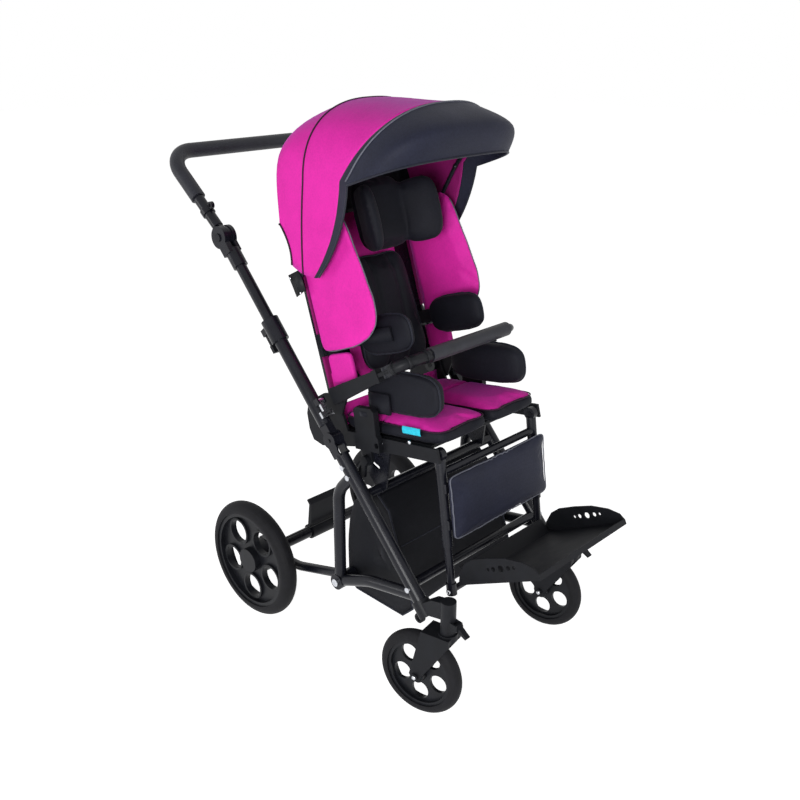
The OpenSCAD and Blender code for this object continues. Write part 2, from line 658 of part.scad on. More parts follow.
// Seat frame: side plates, cross tubes, pan, hip pad blocks and the safety bar's two arms
hip_at = [-50, 109];
hip_bar = [29, 66];
bar_h = 25;
bar_rear_h = 38;
tilt_tab = tilt_slot_r * [cos(tilt_slot_at + seat_pitch), sin(tilt_slot_at + seat_pitch)];
module seat_frame() color(black) {
  seat_space() for (s = [-1, 1]) on_side(s) {
    difference() {
      union() {
        side_view(plate_in) linear_extrude(plate_t) polygon([
          leg_at + [-14, -12], [-40, -16], [30, -18], [80, -18], recline_at + [6, -105], recline_at + [44, -110],
          recline_at + [72, -100], recline_at + [82, -76], recline_at + [84, -40], recline_at + [76, -16],
          recline_at + [58, -4], recline_at + [20, 14], recline_at + [-20, 18],
          [recline_at[0] - 46, pan_top], [leg_at[0] - 10, pan_top]]);
        side_view(plate_x - past) linear_extrude(plate_t + 8) polygon([
          hip_bar + [-36, -82], hip_bar + [36, -82], hip_bar + [36, -52], hip_bar + [30, -44], hip_bar + [30, 6],
          hip_bar + [22, 13], hip_bar + [-22, 13], hip_bar + [-30, 6], hip_bar + [-30, -44], hip_bar + [-36, -52]]);
        side_view(plate_in) linear_extrude(plate_t) translate(tilt_tab) {
          circle(r = 14);
          translate([-14, 0]) square([28, 34]);
        }
      }
      pin(0, plate_x + 20, [0, 0], pivot_r + fit);
      side_view(0) linear_extrude(plate_x + 40) translate(hip_bar - [10 + gap, 5 + gap])
        square([20 + 2 * gap, 10 + 2 * gap]);
      if (s < 0) pin(0, plate_x + 20, tilt_tab, tilt_bolt_r + fit);
    }
    pin(plate_in - 13, plate_x, recline_at, pivot_r);
    pin(plate_in - 20, plate_x, leg_at, pivot_r);
  }
  seat_space() {
    for (y = [-96, 112]) pin(-plate_in - past, plate_in + past, [y, 0], 9.5, tube_wall);
    translate([1.5 - quad_x, leg_at[0] + 16, pan_top - 5]) cube([2 * quad_x - 3, seat_depth - 30, 5]);
  }
  for (s = [-1, 1]) on_side(s) {
    side_view(plate_x - past) linear_extrude(bar_x - 7 - plate_x + past) polygon([
      bar_rear + [-22, 14], bar_rear + [-26, -6], bar_rear + [-12, -44], bar_rear + [26, -40], bar_rear + [16, -4],
      bar_rear + [4, 8]]);
    bar_space() {
      side_view(bar_x - 7) linear_extrude(14) polygon([
        [0, -bar_h / 2], [bar_arm + 6, -bar_rear_h / 2], [bar_arm + 6, bar_rear_h / 2], [0, bar_h / 2]]);
      translate([bar_x - 8.5, 0, -bar_h / 2 - 2]) cube([17, 12, bar_h + 4]);
    }
  }
  bar_space() {
    translate([-bar_x - 7, bar_pin_at, -4]) cube([14, past - bar_pin_at, 8]);
    translate([-bar_x, bar_pin_at, -4]) cylinder(r = 9.5, h = 8);
    translate([-bar_x, bar_pin_at, -12]) cylinder(r = bar_pin_r, h = 24);
  }
}

// Two thigh cushions with a cleft between them, a little past the legrest's hinge
cushion_over = 20;
module seat_cushions() color(pink) seat_space() for (s = [-1, 1])
  translate([s * (cushion_w / 2 + 1.5), leg_at[0] + seat_depth / 2 - cushion_over, pan_top + gap])
    pad(cushion_w, seat_depth, cushion_t, 7, 0.012);

// Clamp bolt and knob in the right quadrant's slot
tilt_at = seat_pivot + tilt_slot_r * [cos(tilt_slot_at), sin(tilt_slot_at)];
module tilt_clamp() color(black_plastic) {
  pin(-plate_x - 4, -quad_x + 5, tilt_at, tilt_bolt_r);
  pin(-plate_x - 12, -plate_x - gap, tilt_at, 11);
  side_view(-plate_x - 12) linear_extrude(7) polygon([
    tilt_at + [-6, -4], tilt_at + [-2, -38], tilt_at + [6, -38], tilt_at + [7, -4]]);
}

// Hip pad on a bar that slides in the block of its side plate
hip_x = 150;
hip_t = 40;
module hip_pad(side) color(black) on_side(side) seat_space() {
  side_pad(hip_x, hip_at, [hip_len, hip_h, hip_t], 3.4, 0);
  translate([hip_x + gap, hip_bar[0] - 10, hip_bar[1] - 5]) cube([plate_x + 14 - hip_x - gap, 20, 10]);
  translate([hip_x + gap, hip_bar[0] - 50, hip_bar[1] - 5]) cube([5, 60, 44]);
}

// U-shaped safety bar that opens about the pin on the right arm
module safety_bar() color(black) bar_space() difference() {
  union() {
    pipe([[-bar_x, bar_pin_at - 12], [-bar_x, -bar_reach], [bar_x, -bar_reach], [bar_x, -gap]], 34, bar_d);
    translate([bar_x, -12, 0]) rotate([-90, 0, 0]) cylinder(d = bar_d + 5, h = 12 - gap);
    for (z = [4 + gap, -11.5]) {
      translate([-bar_x, bar_pin_at, z]) cylinder(r = 10.5, h = 11.5 - 4 - gap);
      translate([-bar_x - 9, bar_pin_at - 26, z]) cube([18, 26, 11.5 - 4 - gap]);
    }
    translate([-bar_x, bar_pin_at - 14, 0]) rotate([90, 0, 0]) cylinder(d = bar_d + 5, h = 12);
  }
  translate([-bar_x, bar_pin_at, -20]) cylinder(r = bar_pin_r + fit, h = 40);
  translate([-bar_x, bar_pin_at, -4 - gap]) cylinder(r = 13, h = 8 + 2 * gap);
}

// Foam on the safety bar
module safety_grip() color(charcoal) bar_space()
  pin(foam_from, bar_x - 34 - 1, [-bar_reach, 0], bar_foam_d / 2, (bar_foam_d - bar_d) / 2 - 0.2);

// Backrest frame: hinge ears, two rails, rungs, the back shell and the canopy's brackets
rail_out = plate_in - gap;
rail_w = 12;
shell_x = rail_out - rail_w + 1.5;
shell_y = -12;
back_low = 14;
hoop_d = 9;
hoop_x = canopy_w / 2 - cloth_t - hoop_d / 2 - 1.35;
bracket_out = hoop_x - hoop_d / 2 - gap;
module back_frame() color(black) back_space() {
  for (s = [-1, 1]) on_side(s) {
    difference() {
      union() {
        pin(rail_out - rail_w, rail_out, [0, 0], 16);
        translate([rail_out - rail_w, -8, 0]) cube([rail_w, 16, back_h]);
        translate([rail_out - past, -8, canopy_at[1] - 20]) cube([bracket_out - rail_out + past, 24, 40]);
      }
      pin(0, plate_x, [0, 0], pivot_r + fit);
    }
    pin(bracket_out - 2, hoop_x + hoop_d / 2, canopy_at, hood_pin_r);
  }
  for (z = [44, 200, back_h - 12]) pin(-rail_out + past, rail_out - past, [0, z], 7.5);
  translate([-shell_x, shell_y, back_low]) cube([2 * shell_x, 5, back_h - back_low]);
}

// Pink cover over the shell
cover_t = 28;
module back_cover() color(pink) back_space()
  front_pad([0, shell_y - gap, (back_h + back_low) / 2], [cover_w, back_h - back_low, cover_t], 7, 0.01);

// Black pad down the middle of the back, wider at the hips than at the shoulders
pad_h = 262;
pad_t = 40;
pad_taper = 0.12;
module back_pad() color(black) back_space()
  translate([0, shell_y - cover_t - 2 * gap, back_low + 16 + pad_h / 2]) rotate([90, 0, 0]) stuffed(
    [for (p = pad_outline(pad_w, pad_h, 5, 0.03)) [p[0] * (1 - 2 * pad_taper * p[1] / pad_h), p[1]]], pad_t);

// Side wings in front of the rails, with a short skirt below each
wing_t = 24;
skirt = [76, 68, 18];
wing_x = hoop_x - hoop_d / 2 - 1;
wing_at = [-8 - gap - wing_depth / 2, 101 + wing_h / 2];
wing_outline = [[1, -0.9], [0.94, -0.98], [0.8, -1], [0.34, -0.99], [-0.12, -0.97], [-0.57, -0.88], [-0.85, -0.73],
  [-0.96, -0.6], [-1, -0.36], [-0.96, -0.2], [-0.88, 0.13], [-0.79, 0.38], [-0.71, 0.64], [-0.65, 0.81], [-0.55, 0.92],
  [-0.36, 0.99], [0, 1], [0.57, 1], [0.88, 0.99], [0.99, 0.91], [1, 0.57], [1, 0], [1, -0.46]];
module back_wings() color(pink) back_space() for (s = [-1, 1]) on_side(s) {
  translate([wing_x, wing_at[0], wing_at[1]]) rotate([90, 0, -90]) stuffed(
    [for (p = wing_outline) [-p[0] * wing_depth, p[1] * wing_h] / 2], wing_t);
  side_pad(plate_in - 1, [shell_y - gap - skirt[0] / 2, 100 - skirt[1] / 2], skirt, 8, 0);
}

// Trunk support that slides across on the back shell
lateral_x = 124;
lateral_at = [-157, 120];
lateral_t = 30;
module lateral_pad(side) color(black) on_side(side) back_space() {
  side_pad(lateral_x, lateral_at, [158, 86, lateral_t], 3.4, 0);
  translate([lateral_x + gap, lateral_at[0] - 30, lateral_at[1] - 15])
    cube([5, shell_y - gap - lateral_at[0] + 30, 30]);
  translate([lateral_x + gap, shell_y - gap - 5, lateral_at[1] - 15]) cube([14, 5, 30]);
}

// Head support with two side wings on a stem that slides up the back
head_at = 358;
head_h = 146;
head_crown = 18;
head_y = -92;
module headrest() color(black) back_space() {
  front_pad([0, head_y, head_at + head_crown / 2], [150, head_h + head_crown, 34], 4, 0);
  for (s = [-1, 1]) on_side(s) translate([70, head_y - 6, head_at]) rotate([0, 0, -62])
    front_pad([46, -4, 0], [104, head_h, 30], 3.4, 0);
  translate([-16, head_y + gap, head_at - 15]) cube([32, shell_y - 0.95 * cover_t - 3 * gap - head_y, 30]);
}

// Canopy: ribs from the rear curtain to the front rim, each with its side base, shoulder, crown, the side's bow, and
// [how far it flares, how square its arch is]
plain_arch = [0, 2.5];
visor_arch = [8, 3.2];
side_steps = 4;
arch_steps = 16;
function side_at(k, v) = k[0] + (k[1] - k[0]) * v + 2 * v * (1 - v) * k[3];
function rib(k, w, t) = concat(
  [for (i = [0 : side_steps - 1]) let (v = i / side_steps, p = side_at(k, v)) [-w - v * k[4][0], p[0], p[1]]],
  [for (i = [0 : arch_steps]) let (a = 180 * i / arch_steps, q = k[1] + (k[2] - k[1]) * soft_power(sin(a), k[4][1]),
    p = q + t * sin(a) * unit(hood - q)) [-(w + k[4][0]) * soft_power(cos(a), k[4][1]), p[0], p[1]]],
  [for (i = [side_steps - 1 : -1 : 0]) let (v = i / side_steps, p = side_at(k, v)) [w + v * k[4][0], p[0], p[1]]]);
function spline(a, b, c, d, t) =
  b + t / 2 * (c - a) + t * t / 2 * (2 * a - 5 * b + 4 * c - d) + t * t * t / 2 * (3 * b - a - 3 * c + d);
function between(keys, i, t) = let (m = len(keys) - 1)
  [for (j = [0 : 4]) spline(keys[max(i - 1, 0)][j], keys[i][j], keys[i + 1][j], keys[min(i + 2, m)][j], t)];
function ribs(keys, steps) = concat(
  [for (i = [0 : len(keys) - 2]) for (s = [0 : steps - 1]) between(keys, i, s / steps)], [keys[len(keys) - 1]]);
module cloth(keys, steps) {
  all = ribs(keys, steps);
  n = len(all);
  m = 2 * side_steps + arch_steps + 1;
  pts = concat(
    [for (k = all) each rib(k, canopy_w / 2, 0)],
    [for (k = all) each rib(k, canopy_w / 2 - cloth_t, cloth_t)]);
  o = n * m;
  faces = concat(
    [for (i = [0 : n - 2]) for (j = [0 : m - 2]) let (a = i * m + j, b = a + m)
      each [[a, b + 1, b], [a, a + 1, b + 1], [a + o, b + o, b + 1 + o], [a + o, b + 1 + o, a + 1 + o]]],
    [for (i = [0 : n - 2]) for (j = [0, m - 1]) let (a = i * m + j, b = a + m)
      each j == 0 ? [[a, b, b + o], [a, b + o, a + o]] : [[a, b + o, b], [a, a + o, b + o]]],
    [for (j = [0 : m - 2]) for (i = [0, n - 1]) let (a = i * m + j, b = a + 1)
      each i == 0 ? [[a, b + o, b], [a, a + o, b + o]] : [[a, b, b + o], [a, b + o, a + o]]]);
  polyhedron(pts, faces);
}
roof = canopy_rise;
curtain_rib = [hood + [10, 38], hood + [44, 120], hood + [60, 112], [-20, 0], plain_arch];
rear_rib = [hood + [4, 34], hood + [38, 218], hood + [72, roof - 70], [-36, 0], plain_arch];
middle_rib = [hood + [-25, 24], hood + [-33, 215], hood + [-40, roof - 3], [8, 0], plain_arch];
seam_rib = [hood + [-58, 22], hood + [-140, 228], hood + [78 - visor_reach, roof + 1], [-34, -8], plain_arch];
brow_rib = [hood + [-66, 23], hood + [-167, 227], hood + [-visor_reach, roof - 36], [-34, -8], visor_arch];
rim_rib = [hood + [-74, 26], hood + [-170, 224], hood + [13 - visor_reach, roof - 97], [-34, -8], visor_arch];
module canopy_cloth() color(pink) cloth([curtain_rib, rear_rib, middle_rib, seam_rib], 3);

// Sun visor at the front of the canopy
function slip(k, d) = [for (i = [0 : 2]) k[i] + [-d, 0], k[3], k[4]];
module canopy_visor() color(charcoal) cloth([slip(seam_rib, 0.6), brow_rib, rim_rib], 3);

// Front hoop of the canopy, on the pins of the backrest's brackets
hoop_top = norm(seam_rib[2] - seam_rib[1]) - 14;
module canopy_hoop() color(black) {
  shoulder = seam_rib[1] + [16, -8];
  slope = heading(seam_rib[2] - seam_rib[1]);
  difference() {
    union() {
      for (s = [-1, 1]) {
        pin(s * hoop_x - hoop_d / 2, s * hoop_x + hoop_d / 2, hood, 11);
        side_view(s * hoop_x) pipe([hood, shoulder], 10, hoop_d);
      }
      translate([0, shoulder[0], shoulder[1]]) rotate([slope, 0, 0])
        pipe([[-hoop_x, 0], [-hoop_x, hoop_top], [hoop_x, hoop_top], [hoop_x, 0]], hoop_top * 0.9, hoop_d);
      for (s = [-1, 1]) translate([s * hoop_x, shoulder[0], shoulder[1]]) sphere(d = hoop_d + 2);
    }
    for (s = [-1, 1]) pin(s * hoop_x - 20, s * hoop_x + 20, hood, hood_pin_r + fit);
  }
}

// Upper legs with the cross tube that carries the calf pad
leg_top_len = 200;
foot_leg_d = leg_d - 2 * tube_wall - 1;
calf_at = -92 - calf_h / 2 + 40;
calf_y = -leg_d / 2 - 4;
module legrest_frame() color(black) leg_space() {
  difference() {
    union() {
      for (s = [-1, 1]) {
        pin(s * leg_x - 7, s * leg_x + 7, [0, 0], 14);
        translate([s * leg_x, 0, -leg_top_len]) cylinder(d = leg_d, h = leg_top_len - 8);
        for (z = [-70, -150]) on_side(s) translate([calf_w / 2 - 22, calf_y, z - 10]) cube([leg_x + 28 - calf_w / 2, 6, 20]);
      }
      pin(-leg_x, leg_x, [0, -40], 8.5);
    }
    for (s = [-1, 1]) {
      pin(s * leg_x - 20, s * leg_x + 20, [0, 0], pivot_r + fit);
      translate([s * leg_x, 0, -leg_top_len - past]) cylinder(d = leg_d - 2 * tube_wall, h = leg_top_len - 24);
    }
  }
}

// Calf pad in front of the legs
module calf_pad() color(charcoal) leg_space()
  front_pad([0, calf_y - gap, -112], [calf_w, calf_h, 20], 9, 0);

// Lower legs and the bar that the footplate turns on
foot_bar_r = 7;
module foot_slide() color(black) leg_space() {
  for (s = [-1, 1]) {
    translate([s * leg_x, 0, -leg_len + 4]) cylinder(d = foot_leg_d, h = leg_len - 90);
    translate([s * leg_x, 0, -leg_len - 9]) cylinder(d = leg_d, h = 26);
  }
  pin(-leg_x, leg_x, [0, -leg_len], foot_bar_r);
}

// Bent footplate: sole, lip, leaning heel strip and two raised sides with a row of round holes
sole_t = 4;
sole_z = 10;
flange_h = 52;
heel_h = 36;
flange_holes = [[-122, 3.5], [-136, 5], [-156, 7], [-176, 5], [-190, 3.5]];
module footplate() color(black) foot_space() {
  half = foot_w / 2;
  difference() {
    union() {
      translate([-half, -foot_depth, sole_z]) cube([foot_w, foot_depth - 26, sole_t]);
      translate([-half, -foot_depth, sole_z]) cube([foot_w, sole_t, 12]);
      side_view(14 - half) linear_extrude(foot_w - 28) polygon([
        [-52, sole_z], [-46, sole_z], [-31, sole_z + heel_h], [-35, sole_z + heel_h]]);
      for (s = [-1, 1]) {
        side_view(s > 0 ? half - sole_t : -half) linear_extrude(sole_t) polygon([
          [-26, sole_z], [-40, sole_z + 26], [-62, sole_z + flange_h - 7], [-85, sole_z + flange_h],
          [-130, sole_z + flange_h], [-174, sole_z + flange_h - 3], [-215, sole_z + flange_h - 14],
          [8 - foot_depth, sole_z + 24], [-foot_depth, sole_z + 10], [-foot_depth, sole_z]]);
      }
      for (x = [-90, 60]) {
        pin(x, x + 30, [0, 0], foot_bar_r + 5);
        translate([x, -34, -4]) cube([30, 34, sole_z + 6]);
      }
    }
    pin(-half, half, [0, 0], foot_bar_r + fit);
    for (h = flange_holes) pin(-half - past, half + past, [h[0], sole_z + 29], h[1]);
  }
}

rear_tyre(-1);  // rear_tyre_right
rear_tyre(1);  // rear_tyre_left
rear_rim(-1);  // rear_rim_right
rear_rim(1);  // rear_rim_left
caster_tyre(-1);  // caster_tyre_right
caster_tyre(1);  // caster_tyre_left
caster_rim(-1);  // caster_rim_right
caster_rim(1);  // caster_rim_left
caster_fork(-1);  // caster_fork_right
caster_fork(1);  // caster_fork_left
caster_lock(-1);  // caster_lock_right
caster_lock(1);  // caster_lock_left
caster_bracket(-1);  // caster_bracket_right
caster_bracket(1);  // caster_bracket_left
side_tube(-1);  // side_tube_right
side_tube(1);  // side_tube_left
rear_post(-1);  // rear_post_right
rear_post(1);  // rear_post_left
seat_cross_tube();
front_cross_tube();
push_tube(-1);  // push_tube_right
push_tube(1);  // push_tube_left
clamp_lever(-1);  // clamp_lever_right
clamp_lever(1);  // clamp_lever_left
fold_latch(-1);  // fold_latch_right
fold_latch(1);  // fold_latch_left
inner_tube(-1);  // inner_tube_right
inner_tube(1);  // inner_tube_left
knuckle_button(-1);  // knuckle_button_right
knuckle_button(1);  // knuckle_button_left
handle_bar();
handle_grip();
rear_axle();
brake_pedal();
brake_pin(-1);  // brake_pin_right
brake_pin(1);  // brake_pin_left
brake_cable();
frame_bolts();
basket();
seat_frame();
seat_cushions();
tilt_clamp();
hip_pad(-1);  // hip_pad_right
hip_pad(1);  // hip_pad_left
safety_bar();
safety_grip();
back_frame();
back_cover();
back_pad();
back_wings();
lateral_pad(-1);  // lateral_pad_right
lateral_pad(1);  // lateral_pad_left
headrest();
canopy_cloth();
canopy_hoop();
canopy_visor();
legrest_frame();
calf_pad();
foot_slide();
footplate();
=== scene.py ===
"""Dresses the special needs buggy: finishes for the metal, rubber and plastic, and sewn pieces over the soft solids."""
import json
import math

import bmesh
import bpy
from mathutils import Matrix, Vector
from mathutils.bvhtree import BVHTree


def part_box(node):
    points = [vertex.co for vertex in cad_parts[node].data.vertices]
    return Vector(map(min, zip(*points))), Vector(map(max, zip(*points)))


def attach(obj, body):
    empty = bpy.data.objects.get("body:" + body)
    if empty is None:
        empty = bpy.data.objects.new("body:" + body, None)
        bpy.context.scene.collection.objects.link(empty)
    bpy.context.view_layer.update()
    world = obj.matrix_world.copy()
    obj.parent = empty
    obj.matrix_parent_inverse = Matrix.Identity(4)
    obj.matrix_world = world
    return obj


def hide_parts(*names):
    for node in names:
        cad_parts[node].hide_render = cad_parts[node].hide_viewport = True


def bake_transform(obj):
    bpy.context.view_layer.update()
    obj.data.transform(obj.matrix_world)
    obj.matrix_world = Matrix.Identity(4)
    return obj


bl_info = {
    "name": "Special needs buggy",
    "version": (1, 0, 0),
    "blender": (4, 5, 0),
    "location": "View3D > Sidebar > Buggy",
    "description": "Finishes and soft goods of a special needs buggy",
    "category": "Object",
}

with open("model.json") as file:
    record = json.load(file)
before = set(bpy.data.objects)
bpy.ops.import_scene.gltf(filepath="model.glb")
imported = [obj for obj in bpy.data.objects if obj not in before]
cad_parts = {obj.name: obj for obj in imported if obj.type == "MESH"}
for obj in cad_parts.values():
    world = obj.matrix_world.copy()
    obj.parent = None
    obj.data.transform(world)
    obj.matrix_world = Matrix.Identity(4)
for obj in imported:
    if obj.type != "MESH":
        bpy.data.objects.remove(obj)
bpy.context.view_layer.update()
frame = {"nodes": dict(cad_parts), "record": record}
JOINTS = {j["name"]: j for j in frame["record"]["behaviour"]["joints"]}
MM = 0.001


# Places


def tilted(joint, degrees):
    """The frame of a tilted unit: at its hinge, with Z leaning to the rear by that many degrees."""
    at = Vector(JOINTS[joint]["pos_m"])
    at.x = 0
    return Matrix.Translation(at) @ Matrix.Rotation(math.radians(-degrees), 4, "X")


SEAT = tilted("tilt", 8)
BACK = tilted("recline", 18)
LEGS = tilted("legrest_raise", 8)
BAR = tilted("safety_bar_open", 31)
HOOD = Vector(JOINTS["canopy_fold"]["pos_m"])
# A point under the canopy, which tells its outside from its inside
UNDER_HOOD = HOOD + Vector((0, -0.05, 0.12))


def spot(space, point):
    """A point of a tilted unit, given in millimetres."""
    return space @ (Vector(point) * MM)


def facing(space, at, way):
    """Frame of a pad on that space: U across the pad, V up it and N out of its face."""
    n = space.to_3x3() @ Vector(way)
    up = space.to_3x3() @ Vector((0, 1, 0) if abs(way[2]) > 0.5 else (0, 0, 1))
    m = Matrix((up.cross(n), up, n)).transposed().to_4x4()
    m.translation = spot(space, at)
    return m


# Materials


def linear(code):
    """An sRGB hex colour as linear red, green and blue."""
    parts = [int(code[i : i + 2], 16) / 255 for i in (1, 3, 5)]
    return tuple(c / 12.92 if c <= 0.04045 else ((c + 0.055) / 1.055) ** 2.4 for c in parts)


def shade(colour, k):
    """A linear colour made k times as light."""
    return tuple(min(1.0, c * k) for c in colour)


def add(tree, kind, inputs=None, **settings):
    """Adds a node; an input given as a socket is linked, and any other value is set on the node's own socket."""
    node = tree.nodes.new(kind)
    for key, value in settings.items():
        setattr(node, key, value)
    for key, value in (inputs or {}).items():
        if isinstance(value, bpy.types.NodeSocket):
            tree.links.new(value, node.inputs[key])
        else:
            node.inputs[key].default_value = value
    return node


def start(name):
    """A material with an empty tree, its output and the object's own coordinates."""
    mat = bpy.data.materials.new(name)
    mat.use_nodes = True
    tree = mat.node_tree
    tree.nodes.clear()
    out = add(tree, "ShaderNodeOutputMaterial")
    where = add(tree, "ShaderNodeTexCoord").outputs["Object"]
    return mat, tree, out, where


def ramp(tree, fac, stops):
    """A colour ramp over fac with stops of (place, linear colour)."""
    node = add(tree, "ShaderNodeValToRGB", {"Fac": fac})
    bar = node.color_ramp.elements
    bar[0].position, bar[0].color = stops[0][0], (*stops[0][1], 1)
    bar[1].position, bar[1].color = stops[-1][0], (*stops[-1][1], 1)
    for place, colour in stops[1:-1]:
        bar.new(place).color = (*colour, 1)
    return node.outputs["Color"]


def noise(tree, where, size, detail=2.0, rough=0.5):
    """Noise with blotches of about that many millimetres."""
    inputs = {"Vector": where, "Scale": 1 / (size * MM), "Detail": detail, "Roughness": rough}
    return add(tree, "ShaderNodeTexNoise", inputs).outputs["Fac"]


def cells(tree, where, size, feature):
    """Round cells of about that many millimetres."""
    inputs = {"Vector": where, "Scale": 1 / (size * MM)}
    return add(tree, "ShaderNodeTexVoronoi", inputs, feature=feature).outputs["Distance"]


def bands(tree, where, pitch, way, **wobble):
    """Parallel bands that repeat after that many millimetres; a wave node has 20 radians to its unit of scale."""
    inputs = {"Vector": where, "Scale": 2 * math.pi / (20 * pitch * MM), **wobble}
    return add(tree, "ShaderNodeTexWave", inputs, wave_type="BANDS", bands_direction=way).outputs["Fac"]


def spread(tree, fac, low, high):
    """Maps 0 to 1 onto low to high."""
    return add(tree, "ShaderNodeMapRange", {"Value": fac, "To Min": low, "To Max": high}).outputs["Result"]


def bumped(tree, height, strength, depth, **under):
    """Normals of a relief that many millimetres deep, over other normals where given."""
    inputs = {"Height": height, "Strength": strength, "Distance": depth * MM, **under}
    return add(tree, "ShaderNodeBump", inputs).outputs["Normal"]


def joined(tree, operation, a, b):
    """Two values put together, as by a sum."""
    return add(tree, "ShaderNodeMath", {0: a, 1: b}, operation=operation).outputs["Value"]


def cover(tree, out, inputs):
    """Ends a material with one layered surface."""
    skin = add(tree, "ShaderNodeBsdfPrincipled", inputs)
    tree.links.new(skin.outputs["BSDF"], out.inputs["Surface"])


def sees_backdrop(tree):
    """1 for the rays that see the background: the camera's, and those by way of metal and glass."""
    path = add(tree, "ShaderNodeLightPath").outputs
    direct = joined(tree, "MAXIMUM", path["Is Camera Ray"], path["Is Glossy Ray"])
    return joined(tree, "MAXIMUM", direct, path["Is Transmission Ray"])


def powder_coat():
    """Satin black powder coat on aluminium tube: an even, slightly pebbled skin with long soft highlights."""
    mat, tree, out, where = start("satin_powder_coat")
    base = linear("#13141B")
    # Pebbles are drawn twice as coarse as real ones so that they show
    peel = noise(tree, where, 0.9, 1.0)
    handled = noise(tree, where, 40, 4.0)
    cover(tree, out, {
        "Base Color": ramp(tree, handled, [(0.3, shade(base, 0.8)), (0.7, shade(base, 1.35))]),
        "Roughness": spread(tree, handled, 0.2, 0.32),
        "Normal": bumped(tree, peel, 0.12, 0.2),
        "Specular IOR Level": 0.22})
    return mat


def moulded_nylon(name, code, rough):
    """Glass-filled nylon from a spark-eroded mould: a fine grain and dull broad highlights."""
    mat, tree, out, where = start(name)
    base = linear(code)
    grain = cells(tree, where, 0.7, "SMOOTH_F1")
    dust = noise(tree, where, 25, 5.0)
    cover(tree, out, {
        "Base Color": ramp(tree, dust, [(0.3, shade(base, 0.85)), (0.75, shade(base, 1.4))]),
        "Roughness": spread(tree, dust, rough - 0.06, rough + 0.1),
        "Normal": bumped(tree, grain, 0.2, 0.15),
        "Specular IOR Level": 0.15})
    return mat


def tyre_rubber():
    """Moulded solid rubber: matt, greyed in random blotches of dirt, with ribs that run round the tread."""
    mat, tree, out, where = start("tyre_rubber")
    base = linear("#141417")
    ribs = bands(tree, where, 7, "X")
    dirt = noise(tree, where, 18, 6.0)
    cover(tree, out, {
        "Base Color": ramp(tree, dirt, [(0.35, shade(base, 0.8)), (0.75, shade(base, 1.7))]),
        "Roughness": spread(tree, dirt, 0.55, 0.8),
        "Normal": bumped(tree, ribs, 0.35, 0.5),
        "Specular IOR Level": 0.15})
    return mat


def bright_plate():
    """Bright zinc plate on steel bolts and latches: mirror-like with a faint haze from handling."""
    mat, tree, out, where = start("bright_zinc_plate")
    haze = noise(tree, where, 3, 3.0)
    cover(tree, out, {
        "Base Color": ramp(tree, haze, [(0.3, linear("#A9ACB2")), (0.7, linear("#D3D5DA"))]),
        "Roughness": spread(tree, haze, 0.16, 0.3),
        "Metallic": 1.0})
    return mat


def foam_sleeve():
    """Closed-cell foam sleeve: a matt skin with fine open pores."""
    mat, tree, out, where = start("closed_cell_foam")
    base = linear("#1B1C24")
    pores = cells(tree, where, 1.2, "F1")
    worn = noise(tree, where, 30, 4.0)
    cover(tree, out, {
        "Base Color": ramp(tree, worn, [(0.3, shade(base, 0.8)), (0.75, shade(base, 1.5))]),
        "Roughness": 0.5,
        "Normal": bumped(tree, pores, 0.35, 0.25),
        "Specular IOR Level": 0.3,
        "Sheen Weight": 0.05,
        "Sheen Roughness": 0.5})
    return mat


def woven_cloth(name, code, pitch, rough, sheen, light=1.3, dark=0.72, glow="#C9C9D6"):
    """Woven polyester: a plain weave that gives a soft grazing sheen, and slow shifts of tone that follow the creases:
    painted shade in their hollows and painted light on their tops.
    """
    mat, tree, out, where = start(name)
    base = linear(code)
    # Threads are about 0.5 mm; the pitch is coarser so that the weave shows
    wobble = {"Distortion": 0.6, "Detail": 1.0, "Detail Scale": 2.0}
    threads = [bands(tree, where, pitch, way, **wobble) for way in "XYZ"]
    weave = joined(tree, "ADD", joined(tree, "MULTIPLY", threads[0], threads[1]), threads[2])
    creases = noise(tree, where, 60, 5.0, 0.55)
    lint = noise(tree, where, 4, 3.0)
    # The tone is half the crease relief, painted shade in its hollows and painted light on its tops, and half random
    # lint
    crease_shade_and_lint = joined(tree, "MULTIPLY", joined(tree, "ADD", creases, lint), 0.5)
    cover(tree, out, {
        "Base Color": ramp(tree, crease_shade_and_lint, [(0.3, shade(base, dark)), (0.5, base), (0.72, shade(base, light))]),
        "Roughness": rough,
        "Normal": bumped(tree, weave, 0.3, 0.25, Normal=bumped(tree, creases, 0.25, 3)),
        "Specular IOR Level": 0.16,
        "Sheen Weight": sheen,
        "Sheen Roughness": 0.4,
        "Sheen Tint": (*linear(glow), 1)})
    return mat


def pale_floor():
    """Painted studio floor: near white to the camera, and it keeps the buggy's soft shadow."""
    mat, tree, out, where = start("studio_floor")
    tone = ramp(tree, noise(tree, where, 300), [(0.3, (0.86, 0.86, 0.86)), (0.7, (0.9, 0.9, 0.9))])
    paint = add(tree, "ShaderNodeBsdfDiffuse", {"Color": tone}).outputs["BSDF"]
    glow = add(tree, "ShaderNodeEmission", {"Color": (1, 1, 1, 1), "Strength": 0.83}).outputs["Emission"]
    lit = add(tree, "ShaderNodeAddShader", {0: paint, 1: glow}).outputs["Shader"]
    pick = add(tree, "ShaderNodeMixShader", {"Fac": sees_backdrop(tree), 1: paint, 2: lit})
    tree.links.new(pick.outputs["Shader"], out.inputs["Surface"])
    return mat


